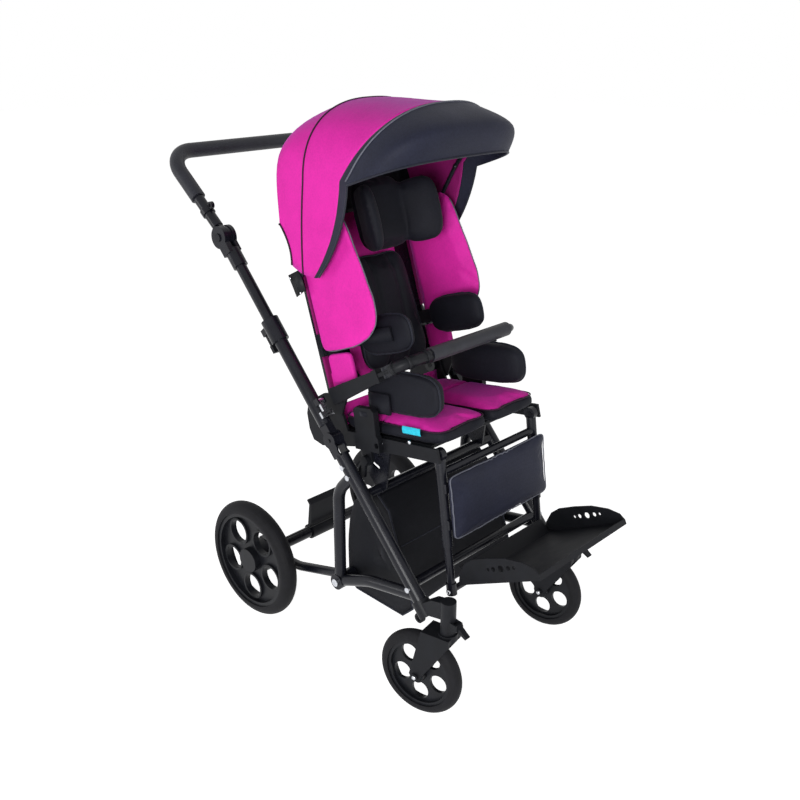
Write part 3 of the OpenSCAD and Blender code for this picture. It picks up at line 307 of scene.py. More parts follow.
# Each finish's material and what it is made with
PALETTE = {
    "powder_coat": (powder_coat,),
    "nylon": (moulded_nylon, "moulded_nylon", "#15161A", 0.42),
    "matt": (moulded_nylon, "matt_powder_coat", "#121317", 0.55),
    "wheel_nylon": (moulded_nylon, "wheel_nylon", "#16171B", 0.36),
    "tyre": (tyre_rubber,),
    "plate": (bright_plate,),
    "foam": (foam_sleeve,),
    "jacket": (moulded_nylon, "cable_jacket", "#17181A", 0.3),
    "pink": (woven_cloth, "pink_polyester", "#DC2AA4", 1.3, 0.62, 0.26, 1.12, 0.86, "#B48CFF"),
    # A darker pink that is painted shade, for the canopy's inside and the panels at the back's sides
    "lining": (woven_cloth, "pink_lining", "#861862", 1.3, 0.7, 0.0, 1.12, 0.86),
    "charcoal": (woven_cloth, "charcoal_polyester", "#1F2130", 1.3, 0.6, 0.08, 1.3),
    "black": (woven_cloth, "black_spacer_knit", "#11121A", 2.0, 0.68, 0.06, 1.4),
    "net": (woven_cloth, "basket_polyester", "#111217", 1.8, 0.62, 0.07, 1.5),
    "piping": (woven_cloth, "grey_piping", "#666873", 0.9, 0.5, 0.1),
    "dark_piping": (woven_cloth, "dark_piping", "#2C1026", 0.9, 0.55, 0.05),
    "binding": (woven_cloth, "edge_binding", "#22242E", 1.0, 0.55, 0.1, 1.3),
    "turquoise": (woven_cloth, "turquoise_tab", "#2FC3DD", 0.9, 0.5, 0.3),
}
MADE = {}


def finish_of(name):
    """The finish's material, made when it is first asked for."""
    if name not in MADE:
        make, *given = PALETTE[name]
        MADE[name] = make(*given)
    return MADE[name]


# Shapes


def put(name, bm, finishes, body):
    """Makes a piece of a bmesh, in place, that rides on a body where one is given."""
    mesh = bpy.data.meshes.new(name)
    bm.to_mesh(mesh)
    bm.free()
    obj = bpy.data.objects.new(name, mesh)
    bpy.context.scene.collection.objects.link(obj)
    for f in finishes:
        mesh.materials.append(finish_of(f))
    for p in mesh.polygons:
        p.use_smooth = True
    if body:
        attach(obj, body)
    return obj


def solids(node):
    """The separate solids of a CAD node as merged bmeshes, largest first."""
    whole = bmesh.new()
    whole.from_mesh(frame["nodes"][node].data)
    bmesh.ops.remove_doubles(whole, verts=whole.verts, dist=0.02 * MM)
    whole.verts.ensure_lookup_table()
    left = set(range(len(whole.verts)))
    groups = []
    while left:
        todo, group = [left.pop()], set()
        while todo:
            i = todo.pop()
            group.add(i)
            for e in whole.verts[i].link_edges:
                j = e.other_vert(whole.verts[i]).index
                if j in left:
                    left.discard(j)
                    todo.append(j)
        groups.append(group)
    found = []
    for group in groups:
        part = whole.copy()
        part.verts.ensure_lookup_table()
        bmesh.ops.delete(part, geom=[v for v in part.verts if v.index not in group], context="VERTS")
        found.append(part)
    whole.free()
    return sorted(found, key=lambda b: -b.calc_volume())


def left_solids(node):
    """The solids of a node on the buggy's left."""
    return [b for b in solids(node) if sum(v.co.x for v in b.verts) > 0]


def both_sides(bm):
    """A left shape and its mirror image, each with its side's name and the sign of x there."""
    other = bm.copy()
    bmesh.ops.scale(other, vec=(-1, 1, 1), verts=other.verts)
    bmesh.ops.reverse_faces(other, faces=other.faces)
    return ("left", bm, 1), ("right", other, -1)


def evaluated(obj):
    """The surface of a mesh with its modifiers, or of a curve with its bevel, as a bmesh."""
    bpy.context.view_layer.update()
    mesh = bpy.data.meshes.new_from_object(obj.evaluated_get(bpy.context.evaluated_depsgraph_get()))
    bm = bmesh.new()
    bm.from_mesh(mesh)
    bpy.data.meshes.remove(mesh)
    return bm


def relax(bm, factor):
    """Smooths a bmesh once."""
    bmesh.ops.smooth_vert(bm, verts=bm.verts, factor=factor, use_axis_x=True, use_axis_y=True, use_axis_z=True)


# How a stuffed cover behaves as cloth, for how many frames it is blown up, and how thick a layer at its back is held
COVER_CLOTH = {
    "quality": 5, "mass": 0.3, "tension_stiffness": 18, "compression_stiffness": 12, "shear_stiffness": 6,
    "bending_stiffness": 0.6, "use_pressure": True, "uniform_pressure_force": 4.0, "vertex_group_mass": "held",
}
COVER_FRAMES = 20
HELD_LAYER = 2.5 * MM


def stuffed(bm, pad, voxel=5.0, shrink=2.5, cap=5.0):
    """A foam-filled cover: the solid is remeshed, blown up as cloth with its flat back held, and capped."""
    mesh = bpy.data.meshes.new("cover")
    bm.to_mesh(mesh)
    bm.free()
    obj = bpy.data.objects.new("cover", mesh)
    bpy.context.scene.collection.objects.link(obj)
    remesh = obj.modifiers.new("remesh", "REMESH")
    remesh.mode = "VOXEL"
    remesh.voxel_size = voxel * MM
    bm = evaluated(obj)
    obj.modifiers.clear()
    relax(bm, 0.5)
    bm.normal_update()
    for v in bm.verts:
        v.co -= v.normal * shrink * MM
    bm.to_mesh(mesh)
    before = [v.co.copy() for v in mesh.vertices]
    bm.free()
    inverse = pad.inverted()
    held = obj.vertex_groups.new(name="held")
    low = min((inverse @ v.co).z for v in mesh.vertices)
    held.add([v.index for v in mesh.vertices if (inverse @ v.co).z < low + HELD_LAYER], 1.0, "REPLACE")
    cloth = obj.modifiers.new("cloth", "CLOTH")
    for key, value in COVER_CLOTH.items():
        setattr(cloth.settings, key, value)
    cloth.settings.effector_weights.gravity = 0
    cloth.point_cache.frame_start, cloth.point_cache.frame_end = 1, COVER_FRAMES
    for step in range(1, COVER_FRAMES + 1):
        bpy.context.scene.frame_set(step)
    bm = evaluated(obj)
    bpy.context.scene.frame_set(1)
    for v, old in zip(bm.verts, before):
        move = v.co - old
        if move.length > cap * MM:
            v.co = old + move.normalized() * cap * MM
    bpy.data.objects.remove(obj)
    for _ in range(2):
        relax(bm, 0.4)
    return bm


def off_line(p, a, b):
    """How far a point is from the line between two others."""
    a, b = Vector(a), Vector(b)
    t = max(0.0, min(1.0, (p - a).dot(b - a) / (b - a).length_squared))
    return (p - a.lerp(b, t)).length


def sewn(bm, pad, lines, depth, width):
    """Presses channels into a pad's face; each line is two points (u, v) in millimetres on the pad."""
    inverse = pad.inverted()
    out = pad.col[2].xyz
    bm.normal_update()
    for v in bm.verts:
        k = v.normal.dot(out)
        # The sides and the back stay as they are
        if k < 0.2:
            continue
        p = (inverse @ v.co).xy / MM
        near = min(off_line(p, a, b) for a, b in lines)
        v.co -= out * depth * MM * math.exp(-((near / width) ** 2)) * min(1.0, k * 1.5)


def paint_sides(bm, pad, share):
    """Gives the band below that share of the pad's thickness, and the back, the second material."""
    inverse = pad.inverted()
    heights = [(inverse @ v.co).z for v in bm.verts]
    low, high = min(heights), max(heights)
    edge = low + share * (high - low)
    everything = [*bm.verts, *bm.edges, *bm.faces]
    out = pad.col[2].xyz
    bmesh.ops.bisect_plane(bm, geom=everything, plane_co=pad @ Vector((0, 0, edge)), plane_no=out, dist=0.2 * MM)
    for f in bm.faces:
        f.material_index = 0 if (inverse @ f.calc_center_median()).z > edge else 1
    return edge


# How far piping stands off its cover
PIPING_LIFT = 0.2 * MM


def rim(bm, pad, level, band=5.0, count=120):
    """The pad's widest line at that height, as points a little outside its cover."""
    inverse = pad.inverted()
    local = [inverse @ v.co for v in bm.verts]
    cu, cv = ((min(p[i] for p in local) + max(p[i] for p in local)) / 2 for i in (0, 1))
    reach = [0.0] * count
    for p in local:
        if abs(p.z - level) < band * MM:
            k = int((math.atan2(p.y - cv, p.x - cu) / (2 * math.pi)) % 1 * count) % count
            reach[k] = max(reach[k], math.hypot(p.x - cu, p.y - cv))
    # A gap takes its neighbours' reach, and then the line is smoothed
    for _ in range(3):
        reach = [r if r > 0 else max(reach[k - 1], reach[(k + 1) % count]) for k, r in enumerate(reach)]
    for _ in range(2):
        reach = [(reach[k - 1] + 2 * r + reach[(k + 1) % count]) / 4 for k, r in enumerate(reach)]
    line = []
    for k, r in enumerate(reach):
        a = 2 * math.pi * (k + 0.5) / count
        r += PIPING_LIFT
        line.append(pad @ Vector((cu + r * math.cos(a), cv + r * math.sin(a), level)))
    return line


def run_of(points, keep):
    """The one run of a closed line's points that are kept, in order."""
    first = next(i for i in range(len(points)) if keep(points[i]) and not keep(points[i - 1]))
    return [p for p in points[first:] + points[:first] if keep(p)]


def tube(name, points, radius, finish, body, closed=False):
    """A round cord of cloth, such as piping, along points; the radius is in millimetres."""
    curve = bpy.data.curves.new(name, "CURVE")
    curve.dimensions = "3D"
    curve.bevel_depth = radius * MM
    curve.bevel_resolution = 2
    curve.use_fill_caps = True
    line = curve.splines.new("POLY")
    line.points.add(len(points) - 1)
    for p, at in zip(line.points, points):
        p.co = (*at, 1)
    line.use_cyclic_u = closed
    temp = bpy.data.objects.new(name, curve)
    bpy.context.scene.collection.objects.link(temp)
    bm = evaluated(temp)
    bpy.data.objects.remove(temp)
    bmesh.ops.remove_doubles(bm, verts=bm.verts, dist=0.01 * MM)
    return put(name, bm, [finish], body)


def ribbon(rows):
    """A sheet through rows of points: the first row is drawn, and each further row is extruded from the last."""
    bm = bmesh.new()
    last = [bm.verts.new(p) for p in rows[0]]
    edges = [bm.edges.new((a, b)) for a, b in zip(last, last[1:])]
    for row in rows[1:]:
        made = bmesh.ops.extrude_edge_only(bm, edges=edges)["geom"]
        edges = [g for g in made if isinstance(g, bmesh.types.BMEdge) and not any(v in last for v in g.verts)]
        step = {}
        for g in made:
            if isinstance(g, bmesh.types.BMVert):
                for e in g.link_edges:
                    o = e.other_vert(g)
                    if o in last:
                        step[last.index(o)] = g
        last = [step[i] for i in range(len(row))]
        for v, p in zip(last, row):
            v.co = p
    bmesh.ops.recalc_face_normals(bm, faces=bm.faces)
    return bm


def laid(obj, points, lift):
    """The points moved onto a sheet's outside, a little above it; the lift is in millimetres."""
    corners = [v.co.copy() for v in obj.data.vertices]
    tree = BVHTree.FromPolygons(corners, [list(p.vertices) for p in obj.data.polygons])
    found = []
    for p in points:
        at, normal, _, _ = tree.find_nearest(p)
        if normal.dot(at - UNDER_HOOD) < 0:
            normal = -normal
        found.append(at + normal * lift * MM)
    return found


def thickened(obj, thickness, offset):
    """Gives a sheet its thickness in millimetres, about its middle or, with an offset of -1, inwards."""
    wall = obj.modifiers.new("thickness", "SOLIDIFY")
    wall.thickness, wall.offset = thickness * MM, offset


def cloth_panel(name, space, xs, y, zs, finish, body, count=12):
    """A flat sewn panel at y on a tilted unit, between two values of x and two of z."""
    a, b, c, d = (spot(space, (xs[i], y, zs[k])) for i, k in ((0, 0), (1, 0), (1, 1), (0, 1)))
    steps = [i / count for i in range(count + 1)]
    rows = [[a.lerp(b, u).lerp(d.lerp(c, u), v) for u in steps] for v in steps]
    obj = put(name, ribbon(rows), [finish], body)
    thickened(obj, 2, 0)


def pad_piece(name, bm, finishes, body, node):
    """Puts a stuffed pad in place of its CAD node."""
    obj = put(name, bm, finishes, body)
    smooth = obj.modifiers.new("subdivision", "SUBSURF")
    smooth.levels = smooth.render_levels = 1
    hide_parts(node)


# Canopy ribs: base, shoulder, crown and the side's bow, as (y, z) from the canopy's hinge in millimetres, then how far
# the rib flares and how square its arch is
PLAIN_ARCH = (0, 2.5)
VISOR_ARCH = (8, 3.2)
CURTAIN = ((10, 38), (44, 120), (60, 112), (-20, 0), PLAIN_ARCH)
REAR = ((4, 34), (38, 218), (72, 303), (-36, 0), PLAIN_ARCH)
MIDDLE = ((-25, 24), (-33, 215), (-40, 370), (8, 0), PLAIN_ARCH)
SEAM = ((-58, 22), (-140, 228), (-247, 374), (-34, -8), PLAIN_ARCH)
BROW = ((-66, 23), (-167, 227), (-325, 337), (-34, -8), VISOR_ARCH)
RIM = ((-74, 26), (-170, 224), (-312, 276), (-34, -8), VISOR_ARCH)
# Line of the grey piping across the visor
TRIM = ((-62, 22), (-166, 229), (-252, 376), (-34, -8), PLAIN_ARCH)
# Steps up each side of a rib and over its arch, and rows from one rib to the next
RIB_SIDE, RIB_ARCH, RIB_ROWS = 10, 56, 9


def rib_row(rib, half, sag=0.0):
    """Points along one rib, from the right base over the roof to the left base."""
    base, shoulder, crown, bow, (flare, square) = (Vector(p) for p in rib)
    power = 2 / square
    row = []
    for i in range(RIB_SIDE):
        v = i / RIB_SIDE
        row.append((-half - flare * v, base + (shoulder - base) * v + bow * 2 * v * (1 - v)))
    for i in range(RIB_ARCH + 1):
        t = math.pi * i / RIB_ARCH
        c = math.cos(t)
        x = -(half + flare) * math.copysign(abs(c) ** power, c)
        p = shoulder + (crown - shoulder) * max(0.0, math.sin(t)) ** power
        row.append((x, p - Vector((0, sag * math.sin(t)))))
    row += [(-x, p) for x, p in reversed(row[:RIB_SIDE])]
    return [Vector((x, HOOD.y / MM + p.x, HOOD.z / MM + p.y)) * MM for x, p in row]


def spline(a, b, c, d, t):
    """The smooth curve through four values, at the share t of the way from the second to the third."""
    return b + (c - a) * (t / 2) + (a * 2 - b * 5 + c * 4 - d) * (t * t / 2) + (b * 3 - a - c * 3 + d) * (t ** 3 / 2)


def between(ribs, i, t):
    """The rib at the share t of the way from rib i to the next one."""
    four = [ribs[max(i - 1, 0)], ribs[i], ribs[i + 1], ribs[min(i + 2, len(ribs) - 1)]]
    return [spline(*(Vector(rib[j]) for rib in four), t) for j in range(5)]


def canopy_rows(ribs, half, sag):
    """Rows over all the ribs; past the second rib the cloth sags in between."""
    rows = []
    for i in range(len(ribs) - 1):
        for s in range(RIB_ROWS):
            t = s / RIB_ROWS
            rows.append(rib_row(between(ribs, i, t), half, sag * math.sin(math.pi * t) if i else 0.0))
    rows.append(rib_row(ribs[-1], half))
    return rows


# Properties


class BuggySizes(bpy.types.PropertyGroup):
    """Sizes of the sewn pieces, and the lens."""

    cloth: bpy.props.FloatProperty(
        name="Cloth", description="Thickness of the canopy's cloth, in millimetres", default=2.5, min=1, max=4)
    channel: bpy.props.FloatProperty(
        name="Channel", description="Depth of the sewn channels, in millimetres", default=6.0, min=0, max=12)
    lens: bpy.props.FloatProperty(
        name="Lens", description="Focal length of the camera", default=43.317, min=20, max=120, unit="CAMERA")


class BuggyLook(bpy.types.PropertyGroup):
    """Light and background."""

    backdrop: bpy.props.FloatVectorProperty(
        name="Backdrop", description="Colour behind the buggy", subtype="COLOR", default=(1.0, 1.0, 1.0))
    key: bpy.props.FloatProperty(name="Key", description="Power of the key lamp", default=66.0, min=0, unit="POWER")
    fill: bpy.props.FloatProperty(name="Fill", description="Power of the fill lamp", default=24.0, min=0, unit="POWER")
    strip: bpy.props.FloatProperty(
        name="Strip", description="Power of each strip lamp that draws the tubes", default=14.0, min=0, unit="POWER")


# Operators


class BUGGY_OT_stage(bpy.types.Operator):
    """Sets the camera, floor, lamps and backdrop"""

    bl_idname = "buggy.stage"
    bl_label = "Stage"

    # The camera fitted to the photo: what it looks at and how far away, in metres, and its angles
    TARGET = Vector((-0.004, -0.02, 0.568))
    DISTANCE = 2.181
    AZIMUTH, ELEVATION, ROLL = math.radians(-46.7), math.radians(21.5), math.radians(0.277)
    SENSOR_WIDTH = 36
    FLOOR_HALF = 14
    # Light from all round, which the camera doesn't see
    AIR = 0.22
    # Each lamp's setting for its power, then its width, height, place and aim in metres
    LAMPS = {
        "key_lamp": ("key", 1.4, 1.4, (-2.9, -1.5, 1.05), (0, 0, 0.75)),
        "fill_lamp": ("fill", 2.0, 1.6, (0.8, -3.3, 1.2), (0, 0, 0.6)),
        "strip_lamp": ("strip", 0.16, 2.4, (-2.2, -1.9, 1.4), (0, 0, 0.6)),
        "rear_lamp": ("strip", 0.5, 1.6, (-2.4, 2.0, 1.3), (0, 0.1, 0.7)),
    }

    def execute(self, context):
        scene = context.scene
        scene.view_settings.view_transform = "Standard"
        self.set_camera(scene)
        self.set_floor(scene)
        for name, (setting, *rest) in self.LAMPS.items():
            self.set_lamp(scene, name, getattr(scene.buggy_look, setting), *rest)
        self.set_world(scene)
        return {"FINISHED"}

    def set_camera(self, scene):
        az, el, roll = self.AZIMUTH, self.ELEVATION, self.ROLL
        away = Vector((math.sin(az) * math.cos(el), -math.cos(az) * math.cos(el), math.sin(el)))
        at = self.TARGET + self.DISTANCE * away
        ahead = (self.TARGET - at).normalized()
        side = ahead.cross(Vector((0, 0, 1))).normalized()
        up = side.cross(ahead)
        side, up = side * math.cos(roll) + up * math.sin(roll), up * math.cos(roll) - side * math.sin(roll)
        data = bpy.data.cameras.new("photo_camera")
        data.lens = scene.buggy_sizes.lens
        data.sensor_width = self.SENSOR_WIDTH
        data.clip_start = 0.05
        camera = bpy.data.objects.new("photo_camera", data)
        scene.collection.objects.link(camera)
        camera.matrix_world = Matrix.Translation(at) @ Matrix((side, up, -ahead)).transposed().to_4x4()
        scene.camera = camera

    def set_floor(self, scene):
        bm = bmesh.new()
        bmesh.ops.create_grid(bm, x_segments=2, y_segments=2, size=self.FLOOR_HALF)
        mesh = bpy.data.meshes.new("studio_floor")
        bm.to_mesh(mesh)
        bm.free()
        mesh.materials.append(pale_floor())
        floor = bpy.data.objects.new("studio_floor", mesh)
        scene.collection.objects.link(floor)

    def set_lamp(self, scene, name, power, wide, high, place, aim):
        light = bpy.data.lights.new(name, "AREA")
        light.shape = "RECTANGLE"
        light.energy, light.size, light.size_y = power, wide, high
        obj = bpy.data.objects.new(name, light)
        scene.collection.objects.link(obj)
        obj.location = place
        obj.rotation_euler = (Vector(aim) - Vector(place)).to_track_quat("-Z", "Y").to_euler()

    def set_world(self, scene):
        world = bpy.data.worlds.new("studio_air")
        scene.world = world
        world.use_nodes = True
        tree = world.node_tree
        tree.nodes.clear()
        soft = add(tree, "ShaderNodeBackground", {"Color": (1, 1, 1, 1), "Strength": self.AIR})
        pale = add(tree, "ShaderNodeBackground", {"Color": (*scene.buggy_look.backdrop, 1), "Strength": 1.0})
        pick = add(tree, "ShaderNodeMixShader", {
            "Fac": sees_backdrop(tree), 1: soft.outputs["Background"], 2: pale.outputs["Background"]})
        add(tree, "ShaderNodeOutputWorld", {"Surface": pick.outputs["Shader"]})


class BUGGY_OT_finishes(bpy.types.Operator):
    """Gives every rigid node its finish"""

    bl_idname = "buggy.finishes"
    bl_label = "Metal, rubber and plastic"

    FINISH = {
        "black_paint": "powder_coat", "black_plastic": "nylon", "wheel_plastic": "wheel_nylon", "tyre_rubber": "tyre",
        "bright_steel": "plate", "grip_foam": "foam", "cable_jacket": "jacket", "pink_cloth": "pink",
        "charcoal_cloth": "charcoal", "black_cloth": "black", "basket_cloth": "net",
    }
    # Stamped plates, which have a duller coat than the tubes
    MATT = ("seat_frame", "caster_fork_right", "caster_fork_left", "footplate")

    def execute(self, context):
        for part in frame["record"]["subparts"]:
            mesh = frame["nodes"][part["node"]].data
            mesh.materials.clear()
            finish = "matt" if part["node"] in self.MATT else self.FINISH[part["material_slot"]]
            mesh.materials.append(finish_of(finish))
        return {"FINISHED"}


class BUGGY_OT_canopy(bpy.types.Operator):
    """Sews the canopy, its seams and its visor"""

    bl_idname = "buggy.canopy"
    bl_label = "Canopy and visor"

    def execute(self, context):
        thickness = context.scene.buggy_sizes.cloth
        half = (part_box("canopy_cloth")[1].x / MM) - 0.5

        hood = self.sheet("canopy_cloth", (CURTAIN, REAR, MIDDLE, SEAM), half, 5.0, "pink", thickness)
        self.paint_hood_inside(hood)
        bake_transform(hood)
        for name, rib, radius in (("canopy_seam", MIDDLE, 2.0), ("canopy_rear_hem", CURTAIN, 2.4)):
            line = tube(name, laid(hood, rib_row(rib, half), 0.4), radius, "dark_piping", None)
            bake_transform(line)

        visor = self.sheet("canopy_visor", (SEAM, BROW, RIM), half, 0.0, "charcoal", thickness)
        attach(visor, "canopy")
        tube("visor_rim_piping", rib_row(RIM, half), 2.2, "binding", "canopy")
        arch = rib_row(TRIM, half)[RIB_SIDE:-RIB_SIDE]
        tube("visor_piping", laid(visor, arch, 0.6), 1.7, "piping", "canopy")
        return {"FINISHED"}

    def paint_hood_inside(self, hood):
        """Lines the canopy inside with a darker pink that is painted shade, and its rear curtain in black."""
        for finish in ("lining", "pink", "black"):
            hood.data.materials.append(finish_of(finish))
        across = 2 * RIB_SIDE + RIB_ARCH
        for face in hood.data.polygons[: RIB_ROWS * across]:
            face.material_index = 2
        hood.modifiers["thickness"].material_offset = 1

    def sheet(self, node, ribs, half, sag, finish, thickness):
        """One continuous sheet over the ribs, in place of its CAD node."""
        rows = canopy_rows(ribs, half, sag)
        bm = ribbon(rows)
        bm.normal_update()
        if sum(f.normal.dot(f.calc_center_median() - UNDER_HOOD) for f in bm.faces) < 0:
            bmesh.ops.reverse_faces(bm, faces=bm.faces)
        obj = put(f"{node}_sewn", bm, [finish], None)
        thickened(obj, thickness, -1)
        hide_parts(node)
        return obj


class BUGGY_OT_cushions(bpy.types.Operator):
    """Stuffs the two thigh cushions, and sews the tab and the panel behind them"""

    bl_idname = "buggy.cushions"
    bl_label = "Seat cushions"

    # The share of a cushion's thickness that is black, below its pink top
    BLACK_SHARE = 0.6
    # The tab's front end, length, height above the seat and half width, and how far its fold stands out
    TAB = (-62, 50, 40, 8, 2.6)

    def execute(self, context):
        sizes = context.scene.buggy_sizes
        left = left_solids("seat_cushions")[0]
        low = min(v.co.x for v in left.verts)
        high = max(v.co.x for v in left.verts)
        pad = facing(SEAT, ((low + high) / 2 / MM, -18.5, 14.3), (0, 0, 1))
        bm = stuffed(left, pad)
        sewn(bm, pad, [((-70, 28), (70, 28))], sizes.channel, 5)
        for side, shape, sign in both_sides(bm):
            place = pad.copy()
            place.translation.x *= sign
            line = rim(shape, place, paint_sides(shape, place, self.BLACK_SHARE))
            pad_piece(f"thigh_cushion_{side}", shape, ["pink", "black"], "seat", "seat_cushions")
            tube(f"thigh_cushion_{side}_piping", line, 1.6, "dark_piping", "seat", closed=True)
        self.tab(high / MM)
        cloth_panel("seat_rear_panel", SEAT, (-164, 164), 134.5, (12, 64), "pink", "seat")
        return {"FINISHED"}

    def tab(self, outer):
        """Blank cloth tab folded over in the right cushion's side seam."""
        front, length, height, half, out = self.TAB
        turns = [math.pi * i / 8 for i in range(9)]
        rows = []
        for k in range(13):
            y = front - length * k / 12
            rows.append([spot(SEAT, (-outer - 0.6 - out * math.sin(a), y, height + half * math.cos(a))) for a in turns])
        put("cushion_tab", ribbon(rows), ["turquoise"], "seat")


class BUGGY_OT_back(bpy.types.Operator):
    """Stuffs the back cover, the back pad and the side wings, and sews the linings, whose darker pink is painted shade
    """

    bl_idname = "buggy.back"
    bl_label = "Back and wings"

    # Two panels line each side from the back cover to the wing, with a slot between them for the lateral pad's arm
    LINING_X, LINING_Y = (106, 171), -8
    LININGS = (("lower", (14, 96)), ("upper", (146, 330)))
    # The flap's upper and lower edges as (y, z), and its width, in metres
    FLAP_TOP = ((-86, 44), (-50, 40), (-14, 52), (12, 78))
    FLAP_LOW = ((-84, 40), (-60, 29), (-22, 20), (14, 12))
    FLAP_WIDTH = 0.1

    def execute(self, context):
        channel = context.scene.buggy_sizes.channel
        pad = facing(BACK, (0, -12.3, 204), (0, -1, 0))
        bm = stuffed(solids("back_cover")[0], pad, 6.0)
        sewn(bm, pad, [((-100, 60), (100, 60)), ((-100, -70), (100, -70))], channel * 0.6, 6)
        pad_piece("back_cover_sewn", bm, ["pink"], "back", "back_cover")

        pad = facing(BACK, (0, -40.6, 161), (0, -1, 0))
        bm = stuffed(solids("back_pad")[0], pad)
        sewn(bm, pad, [((-34, -120), (-34, 120)), ((34, -120), (34, 120))], channel, 6)
        line = rim(bm, pad, paint_sides(bm, pad, 0.4))
        pad_piece("back_pad_sewn", bm, ["black", "black"], "back", "back_pad")
        tube("back_pad_piping", line, 1.8, "binding", "back", closed=True)

        wing, skirt = left_solids("back_wings")
        self.side_pieces("wing", wing, (-105, 247), 5.0, 2.5)
        self.side_pieces("skirt", skirt, (-50.3, 66), 4.0, 1.0)
        for side, sign in (("left", 1), ("right", -1)):
            xs = [sign * x for x in self.LINING_X]
            for name, zs in self.LININGS:
                # The linings are given the darker pink of painted shade
                cloth_panel(f"back_lining_{name}_{side}", BACK, xs, self.LINING_Y, zs, "lining", "back")
        return {"FINISHED"}

    def side_pieces(self, kind, soft, middle, voxel, shrink):
        """A wing with its piping, or a skirt with its flap, on both sides."""
        outer = max(v.co.x for v in soft.verts) / MM
        bm = stuffed(soft, facing(BACK, (outer, *middle), (-1, 0, 0)), voxel, shrink)
        for side, shape, sign in both_sides(bm):
            line = rim(shape, facing(BACK, (sign * outer, *middle), (-sign, 0, 0)), 9 * MM, 4.0)
            pad_piece(f"{kind}_{side}_sewn", shape, ["pink"], "back", "back_wings")
            if kind == "wing":
                tube(f"wing_{side}_piping", run_of(line, self.trimmed), 1.2, "piping", "back")
            else:
                self.flap(side, sign * (outer - 7))

    def flap(self, side, x):
        """Cloth that hangs from the skirt's lower edge behind the safety bar's arm."""
        rows = []
        for k in range(7):
            ends = [Vector(a).lerp(Vector(b), k / 6) for a, b in zip(self.FLAP_TOP, self.FLAP_LOW)]
            line = [a.lerp(b, i / 5) for a, b in zip(ends, ends[1:]) for i in range(5)] + [ends[-1]]
            rows.append([spot(BACK, (x, *p)) for p in line])
        obj = put(f"skirt_flap_{side}", ribbon(rows), ["pink"], "back")
        thickened(obj, 2.5, 0)

    def trimmed(self, point):
        """Whether the wing's edge has piping there: not up the rails nor under the roof."""
        p = (BACK.inverted() @ point) / MM
        return p.z < 372 and (p.y < -24 or p.z < 112)


class BUGGY_OT_supports(bpy.types.Operator):
    """Stuffs the hip pads, the trunk pads and the headrest"""

    bl_idname = "buggy.supports"
    bl_label = "Body supports"

    def execute(self, context):
        for kind, space, middle in (("hip", SEAT, (-50, 109)), ("lateral", BACK, (-157, 120))):
            soft = solids(f"{kind}_pad_left")[0]
            outer = max(v.co.x for v in soft.verts) / MM
            bm = stuffed(soft, facing(space, (outer, *middle), (-1, 0, 0)))
            for side, shape, sign in both_sides(bm):
                node, body = f"{kind}_pad_{side}", f"{kind}_{side}"
                line = rim(shape, facing(space, (sign * outer, *middle), (-sign, 0, 0)), 10 * MM, 4.0)
                pad_piece(f"{node}_sewn", shape, ["black"], body, node)
                tube(f"{node}_piping", line, 1.8, "binding", body, closed=True)
                self.hard_pieces(node, "arm", "black", body)

        pad = facing(BACK, (0, -92, 358), (0, -1, 0))
        bm = stuffed(solids("headrest")[0], pad)
        pad_piece("headrest_sewn", bm, ["black"], "head", "headrest")
        self.hard_pieces("headrest", "stem", "powder_coat", "head")
        return {"FINISHED"}

    def hard_pieces(self, node, kind, finish, body):
        """The solids of a pad's node other than the pad itself, as they are."""
        for i, rest in enumerate(solids(node)[1:]):
            obj = put(f"{node}_{kind}_{i}", rest, [finish], body)
            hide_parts(node)


class BUGGY_OT_calf_pad(bpy.types.Operator):
    """Stuffs the calf pad"""

    bl_idname = "buggy.calf_pad"
    bl_label = "Calf pad"

    # Powers of the rounded outline that the CAD's pad has, and of the squarer one that it is drawn out to
    ROUND, SQUARE = 9, 22

    def execute(self, context):
        pad = facing(LEGS, (0, -15.3, -112), (0, -1, 0))
        bm = stuffed(solids("calf_pad")[0], pad, 4.0, 1.5, 2.0)
        self.square_corners(bm, pad)
        line = rim(bm, pad, 11 * MM, 4.0, 240)
        pad_piece("calf_pad_sewn", bm, ["charcoal"], "legrest", "calf_pad")
        tube("calf_pad_piping", line, 1.3, "piping", "legrest", closed=True)
        return {"FINISHED"}

    def square_corners(self, bm, pad):
        """Draws the pad's rounded corners out to the tighter ones of a sewn cover over board."""
        inverse = pad.inverted()
        at = [inverse @ v.co for v in bm.verts]
        wide, high = max(p.x for p in at), max(p.y for p in at)
        for v, p in zip(bm.verts, at):
            u, w = abs(p.x / wide), abs(p.y / high)
            if max(u, w) > 0.3:
                now, then = ((u ** n + w ** n) ** (1 / n) for n in (self.ROUND, self.SQUARE))
                v.co = pad @ Vector((p.x * now / then, p.y * now / then, p.z))


